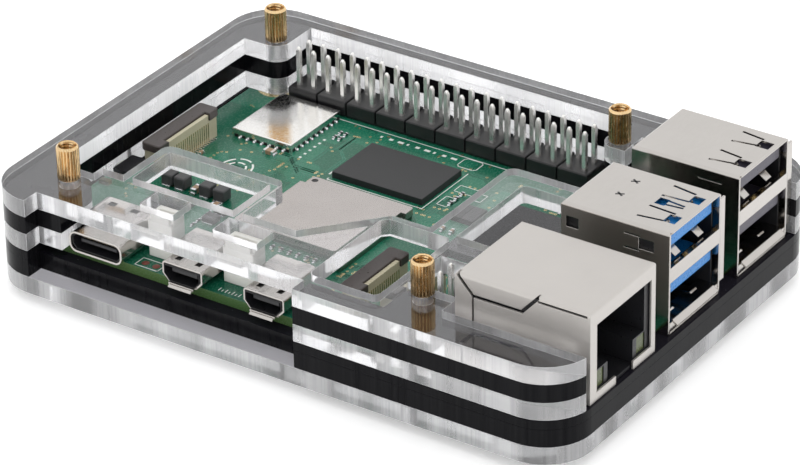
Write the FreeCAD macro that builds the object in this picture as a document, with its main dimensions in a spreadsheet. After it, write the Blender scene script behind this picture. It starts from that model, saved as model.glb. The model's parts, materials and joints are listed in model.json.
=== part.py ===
import FreeCAD, Part
import os
from FreeCAD import Placement, Rotation, Vector
import Sketcher

# A credit-card sized single board computer standing in an open, layered acrylic case.
# Board coordinates, in millimetres: X runs along the long side of the board, Y from the
# connector edge (front) to the pin header (far), and Z is 0 on the board's top face.
# Every sub-part gets one Placement that moves board coordinates to the part's own frame,
# whose origin is the middle of the underside of the whole object.

DRIVING_SIZES = {
    "board_length": 85.0, "board_width": 56.0, "board_thick": 1.4, "board_corner": 3.0,
    "hole_inset": 3.5, "hole_span_x": 58.0, "hole_span_y": 49.0, "hole_dia": 2.7,
    "case_left": -5.4, "case_right": 88.0, "case_front": -4.75, "case_far": 61.5,
    "case_corner": 7.0, "sheet_pitch": 2.65, "sheet_thick": 2.6, "film_gap": 0.05,
    "recess_left": 2.1, "recess_right": 46.4, "recess_front": -2.0,
    "inner_left": -0.6, "inner_far": 58.1, "strip_far": 1.1, "behind_usb": 54.9,
    "post_far_left": 59.4, "post_far_right": 63.6, "post_front": 50.3,
    "pad_right": 6.0, "pad_far": 6.3,
    "screw_dia": 2.5, "screw_length": 16.0, "head_dia": 4.7, "head_height": 1.6,
    "standoff_dia": 3.2, "standoff_length": 5.2, "thread_bore": 2.05, "standoff_relief": 1.6,
    "pin_pitch": 2.54, "pin_width": 0.64, "pin_top": 8.6, "header_height": 2.54,
    "shell_wall": 0.3,
    "usb_rear": 70.7, "usb_front": 87.3, "usb_width": 13.1, "usb_height": 15.4,
    "usb_fast_y": 22.5, "usb_slow_y": 40.4, "shelf_low": 7.9, "shelf_high": 10.1,
    "jack_rear": 67.2, "jack_front": 87.7, "jack_y": 2.4, "jack_width": 16.0, "jack_height": 13.5,
    "power_port_x": 11.2, "power_port_width": 8.94, "power_port_height": 3.2,
    "video_port_first": 25.8, "video_port_second": 39.2, "video_port_width": 6.6,
    "video_port_height": 3.2,
}

doc = FreeCAD.newDocument("board_computer")
sheet = doc.addObject("Spreadsheet::Sheet", "Sizes")
for row, (alias, number) in enumerate(DRIVING_SIZES.items(), start=1):
    sheet.set(f"A{row}", alias)
    sheet.set(f"B{row}", str(number))
    sheet.setAlias(f"B{row}", alias)
doc.recompute()


class Size:
    """A length read from the sheet that remembers the expression it came from."""

    def __init__(self, number, text):
        self.number = number
        self.text = text

    def __add__(self, other):
        return Size(self.number + number_of(other), f"({self.text} + {text_of(other)})")

    def __radd__(self, other):
        return self + other

    def __sub__(self, other):
        return Size(self.number - number_of(other), f"({self.text} - {text_of(other)})")

    def __rsub__(self, other):
        return Size(number_of(other) - self.number, f"({text_of(other)} - {self.text})")

    def __mul__(self, factor):
        return Size(self.number * number_of(factor), f"({self.text} * {text_of(factor)})")

    def __truediv__(self, factor):
        return Size(self.number / number_of(factor), f"({self.text} / {text_of(factor)})")

    def __neg__(self):
        return Size(-self.number, f"(0 - {self.text})")


def number_of(value):
    return value.number if isinstance(value, Size) else float(value)


def text_of(value):
    return value.text if isinstance(value, Size) else f"({float(value):.6g})"


def size(alias):
    return Size(float(sheet.get(alias)), f"Sizes.{alias}")


def bind(item, prop, value):
    """Set a property from a plain number, or tie it to the sheet."""
    if isinstance(value, Size):
        item.setExpression(prop, value.text)
    elif "." not in prop and "[" not in prop:
        setattr(item, prop, value)
    else:
        item.setExpression(prop, text_of(value))


BOARD_UNDER = -size("board_thick")
PITCH = size("sheet_pitch")
LOWER_BASE = BOARD_UNDER - PITCH + size("film_gap")
BASE_BOTTOM = LOWER_BASE - PITCH
LOWEST = BASE_BOTTOM - size("head_height")
TOP_SHEET_BASE = PITCH * 2
DECK = PITCH * 3
HOLE_X = size("hole_inset")
HOLE_X2 = size("hole_inset") + size("hole_span_x")
HOLE_Y = size("hole_inset")
HOLE_Y2 = size("hole_inset") + size("hole_span_y")
ORIGIN_X = (size("case_left") + size("case_right")) / 2
ORIGIN_Y = (size("case_front") + size("case_far")) / 2

nodes = []


def keep(item, label):
    """Register an object as a sub-part and move it into the part's own frame."""
    item.Label = label
    bind(item, ".Placement.Base.x", -ORIGIN_X)
    bind(item, ".Placement.Base.y", -ORIGIN_Y)
    bind(item, ".Placement.Base.z", -LOWEST)
    nodes.append(item)
    return item


# ---------------------------------------------------------------- solid helpers

def box(name, low, high):
    """A block between two opposite corners."""
    item = doc.addObject("Part::Box", name)
    for prop, start, end in zip(("Length", "Width", "Height"), low, high):
        bind(item, prop, end - start)
    for axis, start in zip("xyz", low):
        bind(item, f".Placement.Base.{axis}", start)
    return item


def turned_box(name, corner, extent, degrees, axis=Vector(0, 0, 1)):
    """A block that starts at a corner and is turned about an axis through it."""
    item = doc.addObject("Part::Box", name)
    for prop, length in zip(("Length", "Width", "Height"), extent):
        bind(item, prop, length)
    item.Placement = Placement(Vector(), Rotation(axis, degrees))
    for letter, start in zip("xyz", corner):
        bind(item, f".Placement.Base.{letter}", start)
    return item


def cylinder(name, foot, radius, height, direction=Vector(0, 0, 1)):
    """A round bar that starts at a foot point and runs along a direction."""
    item = doc.addObject("Part::Cylinder", name)
    bind(item, "Radius", radius)
    bind(item, "Height", height)
    item.Placement = Placement(Vector(), Rotation(Vector(0, 0, 1), direction))
    for axis, start in zip("xyz", foot):
        bind(item, f".Placement.Base.{axis}", start)
    return item


def joined(name, parts):
    item = doc.addObject("Part::MultiFuse", name)
    item.Shapes = parts
    return item


def grouped(name, parts):
    """Separate solids kept side by side in one object."""
    item = doc.addObject("Part::Compound", name)
    item.Links = parts
    return item


def cut(name, base, tools):
    item = doc.addObject("Part::Cut", name)
    item.Base = base
    item.Tool = tools[0] if len(tools) == 1 else joined(name + "_tool", tools)
    return item


def edges_of(shape, test):
    """Numbers of the edges whose two ends pass a test."""
    return [number for number, edge in enumerate(shape.Edges, start=1)
            if all(test(vertex.Point) for vertex in (edge.Vertexes[0], edge.Vertexes[-1]))]


def rounded(name, base, radius, test):
    """Round the edges of a Part object that pass a test."""
    doc.recompute()
    item = doc.addObject("Part::Fillet", name)
    item.Base = base
    item.Edges = [(number, radius, radius) for number in edges_of(base.Shape, test)]
    return item


def rounded_uprights(name, base, radius, test):
    """Round only the upright edges that pass a test."""
    doc.recompute()
    edges = base.Shape.Edges
    uprights = [number for number in edges_of(base.Shape, test)
                if edges[number - 1].BoundBox.XLength + edges[number - 1].BoundBox.YLength < 0.01]
    item = doc.addObject("Part::Fillet", name)
    item.Base = base
    item.Edges = [(number, radius, radius) for number in uprights]
    return item


# ---------------------------------------------------------------- sketch helpers

def new_body(label):
    body = doc.addObject("PartDesign::Body", label)
    body.AllowCompound = True
    return body


def new_sketch(body, name, height):
    """A sketch parallel to the board at a given height."""
    sketch = body.newObject("Sketcher::SketchObject", name)
    flat = next(item for item in body.Origin.OriginFeatures if item.Role == "XY_Plane")
    sketch.AttachmentSupport = (flat, [""])
    sketch.MapMode = "FlatFace"
    bind(sketch, ".AttachmentOffset.Base.z", height)
    return sketch


def pin_point(sketch, line, end, x, y):
    """Tie one end of a line to a distance from the sketch's origin."""
    for kind, value in (("DistanceX", x), ("DistanceY", y)):
        rule = Sketcher.Constraint(kind, -1, 1, line, end, number_of(value))
        index = sketch.addConstraint(rule)
        if isinstance(value, Size):
            sketch.setExpression(f"Constraints[{index}]", value.text)


def add_loop(sketch, corners):
    """Add a closed polygon whose corners are tied to the sheet."""
    points = [Vector(number_of(x), number_of(y), 0) for x, y in corners]
    first = sketch.GeometryCount
    lines = [Part.LineSegment(a, b) for a, b in zip(points, points[1:] + points[:1])]
    sketch.addGeometry(lines, False)
    count = len(lines)
    rules = [Sketcher.Constraint("Coincident", first + index, 2, first + (index + 1) % count, 1)
             for index in range(count)]
    sketch.addConstraint(rules)
    for index, (x, y) in enumerate(corners):
        pin_point(sketch, first + index, 1, x, y)


def add_circle(sketch, x, y, diameter):
    center = Vector(number_of(x), number_of(y), 0)
    circle = Part.Circle(center, Vector(0, 0, 1), number_of(diameter) / 2)
    index = sketch.addGeometry(circle, False)
    pin_point(sketch, index, 3, x, y)
    rule = sketch.addConstraint(Sketcher.Constraint("Diameter", index, number_of(diameter)))
    if isinstance(diameter, Size):
        sketch.setExpression(f"Constraints[{rule}]", diameter.text)


def pad(body, sketch, length, name):
    feature = body.newObject("PartDesign::Pad", name)
    feature.Profile = sketch
    bind(feature, "Length", length)
    return feature


def pocket(body, sketch, length, name):
    """Cut downwards from a sketch that lies above the solid."""
    feature = body.newObject("PartDesign::Pocket", name)
    feature.Profile = sketch
    bind(feature, "Length", length)
    return feature


def round_corners(body, corners, radius, name):
    """Round the upright edges that stand at the given points."""
    doc.recompute()
    base = body.Tip
    spots = [(number_of(x), number_of(y)) for x, y in corners]

    def upright_at_spot(edge):
        ends = [edge.Vertexes[0].Point, edge.Vertexes[-1].Point]
        return any(all(abs(end.x - x) < 0.01 and abs(end.y - y) < 0.01 for end in ends)
                   for x, y in spots)

    names = [f"Edge{number}" for number, edge in enumerate(base.Shape.Edges, start=1)
             if upright_at_spot(edge)]
    feature = body.newObject("PartDesign::Fillet", name)
    feature.Base = (base, names)
    bind(feature, "Radius", radius)
    return feature


def hole_grid(body, top, depth, diameter, label):
    """The four fastening holes of the board."""
    sketch = new_sketch(body, label + "_holes", top)
    for x in (HOLE_X, HOLE_X2):
        for y in (HOLE_Y, HOLE_Y2):
            add_circle(sketch, x, y, diameter)
    return sketch, pocket(body, sketch, depth, label + "_drilling")


def rectangle(x0, y0, x1, y1):
    return [(x0, y0), (x1, y0), (x1, y1), (x0, y1)]


def trim_to_case(body, label, top, depth):
    """Cut away what lies outside the rounded outline that all the sheets share."""
    left, right = size("case_left"), size("case_right")
    front, far = size("case_front"), size("case_far")
    radius = size("case_corner")
    reach = 0.292893218813 * radius.number
    sketch = new_sketch(body, label + "_outline", top)
    add_loop(sketch, rectangle(left - 9, front - 9, right + 9, far + 9))
    sides = [((left + radius, front), (right - radius, front)),
             ((right, front + radius), (right, far - radius)),
             ((right - radius, far), (left + radius, far)),
             ((left, far - radius), (left, front + radius))]
    middles = [(right - reach, front + reach), (right - reach, far - reach),
               (left + reach, far - reach), (left + reach, front + reach)]
    first = sketch.GeometryCount
    flat = [[Vector(number_of(x), number_of(y), 0) for x, y in side] for side in sides]
    for side in flat:
        sketch.addGeometry(Part.LineSegment(side[0], side[1]), False)
    for index, middle in enumerate(middles):
        point = Vector(number_of(middle[0]), number_of(middle[1]), 0)
        arc = Part.Arc(flat[index][1], point, flat[(index + 1) % 4][0])
        sketch.addGeometry(arc, False)
    for index, side in enumerate(sides):
        pin_point(sketch, first + index, 1, *side[0])
        pin_point(sketch, first + index, 2, *side[1])
        following = first + (index + 1) % 4
        arc = first + 4 + index
        sketch.addConstraint(Sketcher.Constraint("Coincident", first + index, 2, arc, 1))
        sketch.addConstraint(Sketcher.Constraint("Coincident", arc, 2, following, 1))
        sketch.addConstraint(Sketcher.Constraint("Tangent", first + index, arc))
    return pocket(body, sketch, depth, label + "_trimming")


def laser_cut_sheet(label, bottom, thick, loops, rounds, more_pockets=()):
    """One sheet of the case: loops padded, trimmed to the case, drilled and rounded."""
    body = new_body(label)
    sketch = new_sketch(body, label + "_profile", bottom)
    for corners in loops:
        add_loop(sketch, corners)
    pad(body, sketch, thick, label + "_sheet")
    above = bottom + thick + 1
    through = thick + 2
    for index, corners in enumerate(more_pockets):
        opening = new_sketch(body, f"{label}_opening{index}", above)
        add_loop(opening, corners)
        pocket(body, opening, through, f"{label}_cut{index}")
    for index, (corners, radius) in enumerate(rounds):
        round_corners(body, corners, radius, f"{label}_round{index}")
    trim_to_case(body, label, above, through)
    hole_grid(body, above, through, size("hole_dia"), label)
    return keep(body, label)


# ---------------------------------------------------------------- case sheets

LEFT, RIGHT = size("case_left"), size("case_right")
FRONT, FAR = size("case_front"), size("case_far")
NOTCH_LEFT, NOTCH_RIGHT = size("recess_left"), size("recess_right")
NOTCH_FRONT = size("recess_front")
INNER_LEFT, INNER_FAR = size("inner_left"), size("inner_far")
POST_LEFT, POST_RIGHT = size("post_far_left"), size("post_far_right")
POST_FRONT = size("post_front")
STRIP_FAR, BEHIND_USB = size("strip_far"), size("behind_usb")
THICK = size("sheet_thick")


def base_plate():
    """Clear floor of the case, with two columns of ventilation slots."""
    body_loop = rectangle(LEFT, FRONT, RIGHT, FAR)
    slot_width = 3.0
    slots = []
    for row in range(4):
        y = 11.0 + 11.0 * row
        for x0, x1 in ((12.0, 38.0), (46.0, 72.0)):
            slots.append(rectangle(x0, y, x1, y + slot_width))
    corners = [point for slot in slots for point in slot]
    return laser_cut_sheet("base_plate", BASE_BOTTOM, THICK, [body_loop] + slots, [(corners, 1.2)])


def notched_outline():
    """Outer edge of the full rings, stepped back in front of the small connectors."""
    return [(LEFT, FRONT), (NOTCH_LEFT, FRONT), (NOTCH_LEFT, NOTCH_FRONT),
            (NOTCH_RIGHT, NOTCH_FRONT), (NOTCH_RIGHT, FRONT), (RIGHT, FRONT),
            (RIGHT, FAR), (LEFT, FAR)]


def lower_frame():
    """Black ring that carries the board on its inner rim and on a pad at each screw."""
    x0, x1 = 1.2, size("board_length") - 2
    y0, y1 = 0.8, size("board_width") - 1
    pad_left = HOLE_X + 3.2
    pad_x0, pad_x1 = HOLE_X2 - 3.3, HOLE_X2 + 3.3
    pad_y0, pad_y1 = HOLE_Y + 3.2, HOLE_Y2 - 3.2
    inner = [(pad_left, y0), (pad_x0, y0), (pad_x0, pad_y0), (pad_x1, pad_y0), (pad_x1, y0),
             (x1, y0), (x1, y1), (pad_x1, y1), (pad_x1, pad_y1), (pad_x0, pad_y1), (pad_x0, y1),
             (pad_left, y1), (pad_left, pad_y1), (x0, pad_y1), (x0, pad_y0), (pad_left, pad_y0)]
    tips = [(pad_x0, pad_y0), (pad_x1, pad_y0), (pad_x1, pad_y1), (pad_x0, pad_y1),
            (pad_left, pad_y1), (pad_left, pad_y0)]
    card_way = rectangle(LEFT - 1, 21.5, x0 + 0.5, 34.5)
    return laser_cut_sheet("lower_frame", LOWER_BASE, THICK, [notched_outline(), inner],
                           [(tips, 1.8)], [card_way])


def board_frame():
    """Thin black ring around the edge of the board, open along the connector edge."""
    gap = 0.3
    x0, x1 = -gap, size("board_length") + gap
    y0, y1 = -gap, size("board_width") + gap
    loop = [(LEFT, FRONT), (NOTCH_LEFT, FRONT), (NOTCH_LEFT, y0), (x0, y0), (x0, y1), (x1, y1),
            (x1, y0), (NOTCH_RIGHT, y0), (NOTCH_RIGHT, FRONT), (RIGHT, FRONT), (RIGHT, FAR),
            (LEFT, FAR)]
    body = new_body("board_frame")
    gap_up = size("film_gap")
    sketch = new_sketch(body, "board_frame_profile", BOARD_UNDER + gap_up)
    add_loop(sketch, loop)
    thick = size("board_thick") - gap_up * 2
    pad(body, sketch, thick, "board_frame_sheet")
    round_corners(body, [(x0, y1), (x1, y1), (x1, y0)], 2.9, "board_frame_round")
    round_corners(body, [(x0, y0)], 2.0, "board_frame_front_round")
    trim_to_case(body, "board_frame", 1.0, 4.0)
    return keep(body, "board_frame")


def left_ring():
    """C-shaped outline shared by the middle and upper frames."""
    post_right, post_far = size("pad_right"), size("pad_far")
    return [(LEFT, FRONT), (NOTCH_LEFT, FRONT), (NOTCH_LEFT, NOTCH_FRONT),
            (post_right, NOTCH_FRONT), (post_right, post_far), (INNER_LEFT, post_far),
            (INNER_LEFT, POST_FRONT), (5.75, POST_FRONT), (5.75, INNER_FAR),
            (POST_LEFT, INNER_FAR), (POST_LEFT, POST_FRONT), (POST_RIGHT, POST_FRONT),
            (POST_RIGHT, BEHIND_USB), (RIGHT, BEHIND_USB), (RIGHT, FAR), (LEFT, FAR)]


def left_rounds():
    return [([(size("pad_right"), size("pad_far"))], 1.8), ([(5.75, POST_FRONT)], 2.2),
            ([(POST_LEFT, POST_FRONT)], 2.2)]


def middle_frame():
    """Clear ring on the board's level, set back around the power button."""
    button_way = rectangle(INNER_LEFT - 0.7, 17.0, INNER_LEFT + 1, 22.6)
    return laser_cut_sheet("middle_frame", size("film_gap"), THICK, [left_ring()], left_rounds(),
                           [button_way])


def upper_frame():
    """Black ring above the middle one."""
    return laser_cut_sheet("upper_frame", PITCH + size("film_gap"), THICK, [left_ring()],
                           left_rounds())


def front_strip(label, bottom):
    """The separate piece of a ring that holds the front right screw."""
    loop = [(NOTCH_RIGHT, FRONT), (RIGHT, FRONT), (RIGHT, STRIP_FAR), (66.0, STRIP_FAR),
            (66.0, 4.95), (58.1, 4.95), (58.1, -0.6), (NOTCH_RIGHT, -0.6)]
    return laser_cut_sheet(label, bottom, THICK, [loop], [([(58.1, 4.95)], 1.2)])


def top_frame():
    """Clear top sheet: the ring with thin arms over the board and windows between them."""
    leg = 1.6
    arm_far = 8.2
    bar_far = 18.4
    chip_left, chip_inner = 52.7, 57.0
    chip_near, chip_far = 34.8, 38.3
    outline = [(LEFT, FRONT), (NOTCH_LEFT, FRONT), (NOTCH_LEFT, NOTCH_FRONT),
               (NOTCH_RIGHT, NOTCH_FRONT), (NOTCH_RIGHT, FRONT), (RIGHT, FRONT),
               (RIGHT, STRIP_FAR), (66.0, STRIP_FAR), (66.0, 4.95), (58.1, 4.95), (58.1, 12.9),
               (66.4, 12.9), (66.4, bar_far), (chip_inner, bar_far), (chip_inner, chip_near),
               (69.9, chip_near), (69.9, chip_far), (chip_left, chip_far), (chip_left, bar_far),
               (46.65, bar_far), (45.7, 17.25), (38.0, arm_far), (29.3, arm_far), (29.3, bar_far),
               (9.2, bar_far), (9.2, arm_far), (5.6, arm_far), (5.6, 6.3), (INNER_LEFT, 6.3),
               (INNER_LEFT, POST_FRONT), (5.75, POST_FRONT), (5.75, INNER_FAR),
               (POST_LEFT, INNER_FAR), (POST_LEFT, POST_FRONT), (POST_RIGHT, POST_FRONT),
               (POST_RIGHT, BEHIND_USB), (RIGHT, BEHIND_USB), (RIGHT, FAR), (LEFT, FAR)]
    bar_window = rectangle(9.2 + leg, arm_far, 29.3 - leg, bar_far - leg)
    battery_window = rectangle(16.0, 2.9, 21.6, 6.9)
    serial_window = rectangle(28.4, 2.5, 35.7, 6.3)
    camera_window = [(46.0, -0.3), (56.8, -0.3), (56.8, 17.4), (46.9, 17.4), (46.0, 16.6)]
    rounds = [([(5.75, POST_FRONT), (POST_LEFT, POST_FRONT)], 2.2),
              ([(29.3, bar_far), (9.2, bar_far), (chip_left, chip_far)], 1.5),
              ([(chip_inner, chip_near), (56.8, 17.4), (56.8, -0.3), (46.0, -0.3)], 0.9)]
    return laser_cut_sheet("top_frame", TOP_SHEET_BASE + size("film_gap"), THICK, [outline], rounds,
                           [bar_window, battery_window, serial_window, camera_window])


base_plate()
lower_frame()
board_frame()
middle_frame()
front_strip("middle_strip", size("film_gap"))
upper_frame()
front_strip("upper_strip", PITCH + size("film_gap"))
top_frame()

# ---------------------------------------------------------------- fasteners

def standoffs():
    """Four knurled female posts that wait for the lid's screws."""
    radius = size("standoff_dia") / 2
    foot = DECK + 0.02
    top = foot + size("standoff_length")
    body = new_body("standoffs")
    profile = new_sketch(body, "standoff_profile", foot)
    bind(profile, ".AttachmentOffset.Base.x", HOLE_X)
    bind(profile, ".AttachmentOffset.Base.y", HOLE_Y)
    add_circle(profile, 0, 0, radius * 2)
    pad(body, profile, size("standoff_length"), "standoff_blank")
    doc.recompute()
    chamfer = body.newObject("PartDesign::Chamfer", "standoff_rims")
    blank = body.getObject("standoff_blank")
    rims = [f"Edge{number}" for number, edge in enumerate(blank.Shape.Edges, start=1)
            if edge.Closed]
    chamfer.Base = (blank, rims)
    chamfer.Size = 0.22
    flute_sketch = new_sketch(body, "flute_profile", top + 0.5)
    bind(flute_sketch, ".AttachmentOffset.Base.x", HOLE_X)
    bind(flute_sketch, ".AttachmentOffset.Base.y", HOLE_Y)
    add_circle(flute_sketch, radius + 0.06, 0, 0.36)
    flute = pocket(body, flute_sketch, size("standoff_length") + 1, "flute")
    knurl = body.newObject("PartDesign::PolarPattern", "knurl")
    knurl.Originals = [flute]
    knurl.Axis = (flute_sketch, ["N_Axis"])
    knurl.Angle = 360
    knurl.Occurrences = 18
    body.Tip = knurl
    relief_top = foot + size("standoff_relief")
    for name, height, depth, diameter in (
            ("thread", top + 0.5, size("standoff_length") + 1, size("thread_bore")),
            ("relief", relief_top, size("standoff_relief") + 0.5, size("screw_dia") + 0.06)):
        bore = new_sketch(body, name + "_profile", height)
        bind(bore, ".AttachmentOffset.Base.x", HOLE_X)
        bind(bore, ".AttachmentOffset.Base.y", HOLE_Y)
        add_circle(bore, 0, 0, diameter)
        pocket(body, bore, depth, name + "_bore")
    pattern = body.newObject("PartDesign::LinearPattern", "standoff_grid")
    pattern.TransformMode = "Whole shape"
    pattern.Direction = (profile, ["H_Axis"])
    pattern.Direction2 = (profile, ["V_Axis"])
    pattern.Occurrences = 2
    pattern.Occurrences2 = 2
    bind(pattern, "Length", size("hole_span_x"))
    bind(pattern, "Length2", size("hole_span_y"))
    body.Tip = pattern
    return keep(body, "standoffs")


def case_screws():
    """Four long pan-head screws that clamp the sheets; their heads are the feet."""
    screws = []
    radius = size("screw_dia") / 2
    for index, (x, y) in enumerate((x, y) for x in (HOLE_X, HOLE_X2) for y in (HOLE_Y, HOLE_Y2)):
        tag = f"screw{index}"
        head = cylinder(tag + "_head", (x, y, LOWEST), size("head_dia") / 2, size("head_height"))
        crown = rounded(tag + "_crown", head, 0.5, lambda end: end.z < LOWEST.number + 0.01)
        shank = cylinder(tag + "_shank", (x, y, BASE_BOTTOM - 0.2), radius,
                         size("screw_length") + 0.2)
        slots = [box(f"{tag}_slot{turn}", (x - a, y - b, LOWEST - 0.5), (x + a, y + b, LOWEST + 0.9))
                 for turn, (a, b) in enumerate(((1.25, 0.28), (0.28, 1.25)))]
        screws.append(cut(tag, joined(tag + "_solid", [crown, shank]), slots))
    return keep(grouped("case_screw_set", screws), "case_screws")


# ---------------------------------------------------------------- board and chips

def circuit_board():
    body = new_body("circuit_board")
    sketch = new_sketch(body, "board_profile", BOARD_UNDER)
    corners = rectangle(0, 0, size("board_length"), size("board_width"))
    add_loop(sketch, corners)
    pad(body, sketch, size("board_thick"), "board_sheet")
    round_corners(body, corners, size("board_corner"), "board_corners")
    hole_grid(body, 1.0, 4.0, size("hole_dia"), "board")
    return keep(body, "circuit_board")


def chip(label, x0, y0, x1, y1, top, edge=0.08, bottom=0.0):
    """A flat package with softened top edges."""
    blank = box(label + "_blank", (x0, y0, bottom), (x1, y1, top))
    return keep(rounded(label + "_package", blank, edge, lambda end: end.z > top - 0.01), label)


def processor():
    """A substrate under a stepped metal lid with an orientation dimple."""
    chip("processor_base", 24.4, 13.4, 41.4, 30.8, 0.6)
    body = new_body("processor_lid")
    sketch = new_sketch(body, "lid_profile", 0.6)
    step_y = 29.0
    loop = [(24.0, 13.1), (40.8, 13.1), (40.8, step_y), (41.6, step_y), (41.6, 31.1),
            (24.8, 31.1), (24.8, step_y), (24.0, step_y)]
    add_loop(sketch, loop)
    pad(body, sketch, 1.05, "lid_plate")
    round_corners(body, [(24.0, 13.1), (40.8, 13.1), (41.6, 31.1), (24.8, 31.1)], 0.5,
                  "lid_corners")
    dimple = new_sketch(body, "dimple_profile", 2.0)
    add_circle(dimple, 25.65, 30.15, 0.95)
    pocket(body, dimple, 0.65, "dimple")
    return keep(body, "processor_lid")


def small_blocks(label, rows):
    """Surface parts in straight rows: start, step, count and size of each row."""
    blocks = []
    for row, (x, y, step_x, step_y, count, extent) in enumerate(rows):
        for index in range(count):
            low = (x + step_x * index, y + step_y * index, 0.0)
            high = tuple(start + length for start, length in zip(low, extent))
            blocks.append(box(f"{label}_{row}_{index}", low, high))
    return keep(grouped(label + "_set", blocks), label)


def surface_parts():
    """Coils, capacitors and resistors around the power and processor sections."""
    coil = (1.95, 2.2, 2.0)
    small_coil = (2.2, 2.0, 1.1)
    small_blocks("power_coils", [(6.4, 19.9, 2.2, 0, 2, coil), (12.9, 19.9, 2.4, 0, 2, coil),
                                 (19.2, 12.0, 0, 2.7, 2, small_coil)])
    flat, upright = (1.0, 0.5, 0.5), (0.5, 1.0, 0.5)
    big = (0.9, 1.7, 0.9)
    small_blocks("capacitors", [
        (11.4, 20.1, 0, 0, 1, big), (6.9, 17.9, 1.9, 0, 5, (1.2, 0.7, 0.6)),
        (16.2, 18.4, 0, 0, 1, (1.4, 0.9, 0.8)), (13.2, 35.1, 0, 0, 1, (1.7, 1.0, 0.7)),
        (5.6, 24.6, 0, 2.6, 3, upright), (45.0, 27.6, 1.5, 0, 4, upright),
        (22.4, 8.9, 1.5, 0, 5, upright), (35.4, 9.2, 1.5, 0, 4, upright),
        (71.4, 20.3, 1.6, 0, 6, upright), (57.6, 42.6, 1.5, 0, 6, upright)])
    small_blocks("resistors", [
        (19.0, 43.9, 0.9, 0, 2, (0.45, 0.8, 0.35)), (19.0, 45.3, 0.9, 0, 2, (0.45, 0.8, 0.35)),
        (18.4, 10.6, 0, 1.3, 4, (0.35, 0.8, 0.3)), (24.2, 11.4, 1.4, 0, 11, (0.45, 0.8, 0.35)),
        (46.0, 41.4, 0, 1.3, 3, (0.8, 0.45, 0.35)), (43.4, 36.6, 0, 1.5, 3, (0.5, 0.8, 0.35))])


def chips():
    processor()
    chip("memory_chip", 25.5, 34.5, 40.6, 44.5, 1.0)
    chip("io_chip", 52.0, 22.4, 70.3, 40.1, 1.2)
    chip("power_chip", 9.6, 11.0, 15.6, 16.6, 0.9)
    chip("network_chip", 47.4, 31.0, 51.2, 34.8, 0.8, 0.06)
    chip("wireless_shield", 6.4, 37.2, 16.6, 49.6, 1.35, 0.18)
    chip("crystal_can", 60.6, 19.2, 63.2, 21.7, 0.8, 0.2)
    surface_parts()


# ---------------------------------------------------------------- pin headers

def pin_block(label, x, y, columns, rows):
    """Square gold pins on the standard pitch, pressed through their plastic block."""
    width, pitch = size("pin_width"), size("pin_pitch")
    body = new_body(label)
    sketch = new_sketch(body, label + "_profile", 0.0)
    add_loop(sketch, rectangle(x - width / 2, y - width / 2, x + width / 2, y + width / 2))
    pad(body, sketch, size("pin_top"), label + "_pin")
    doc.recompute()
    blank = body.getObject(label + "_pin")
    top = size("pin_top").number
    tip = body.newObject("PartDesign::Chamfer", label + "_tip")
    tip.Base = (blank, [f"Edge{n}" for n in edges_of(blank.Shape, lambda end: end.z > top - 0.01)])
    tip.Size = 0.18
    pattern = body.newObject("PartDesign::LinearPattern", label + "_grid")
    pattern.TransformMode = "Whole shape"
    pattern.Direction = (sketch, ["H_Axis"])
    pattern.Direction2 = (sketch, ["V_Axis"])
    pattern.Occurrences = columns
    pattern.Occurrences2 = rows
    bind(pattern, "Length", pitch * (columns - 1))
    bind(pattern, "Length2", pitch * (rows - 1))
    body.Tip = pattern
    return keep(body, label)


def header():
    """The long two-row header: ten four-pin blocks moulded in one bar."""
    pitch, count = size("pin_pitch"), 20
    first_x = size("hole_inset") + size("hole_span_x") / 2 - pitch * (count - 1) / 2
    first_y = HOLE_Y2 - pitch / 2
    pin_block("header_pins", first_x, first_y, count, 2)
    x0, y0 = first_x - pitch / 2, first_y - pitch / 2
    blocks = []
    for index in range(count // 2):
        start = x0 + pitch * (2 * index)
        blank = box(f"header_block{index}", (start + 0.14, y0, 0.35),
                    (start + pitch * 2 - 0.14, y0 + pitch * 2, size("header_height")))
        blocks.append(rounded(f"header_cell{index}", blank, 0.25,
                              lambda end: end.z > size("header_height").number - 0.01))
    spine = box("header_spine", (x0 + 0.14, y0 + 0.4, 0.0),
                (x0 + pitch * count - 0.14, y0 + pitch * 2 - 0.4, size("header_height") - 0.3))
    keep(joined("header_bar", blocks + [spine]), "header_body")
    cones = []
    for column in range(count):
        for row in range(2):
            cone = doc.addObject("Part::Cone", f"joint{column}_{row}")
            cone.Radius1, cone.Radius2, cone.Height = 0.35, 0.75, 1.3
            bind(cone, ".Placement.Base.x", first_x + pitch * column)
            bind(cone, ".Placement.Base.y", first_y + pitch * row)
            bind(cone, ".Placement.Base.z", BOARD_UNDER - 1.3)
            cones.append(cone)
    keep(grouped("header_joint_set", cones), "header_solder")


def power_header():
    """Four pins beside the network jack."""
    x, y, pitch = 60.9, 8.5, size("pin_pitch")
    pin_block("power_header_pins", x, y, 2, 2)
    blank = box("power_header_blank", (x - pitch / 2, y - pitch / 2, 0.0),
                (x + pitch * 1.5, y + pitch * 1.5, size("header_height")))
    keep(rounded("power_header_cell", blank, 0.25,
                 lambda end: end.z > size("header_height").number - 0.01), "power_header_body")


# ---------------------------------------------------------------- small connectors

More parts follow.
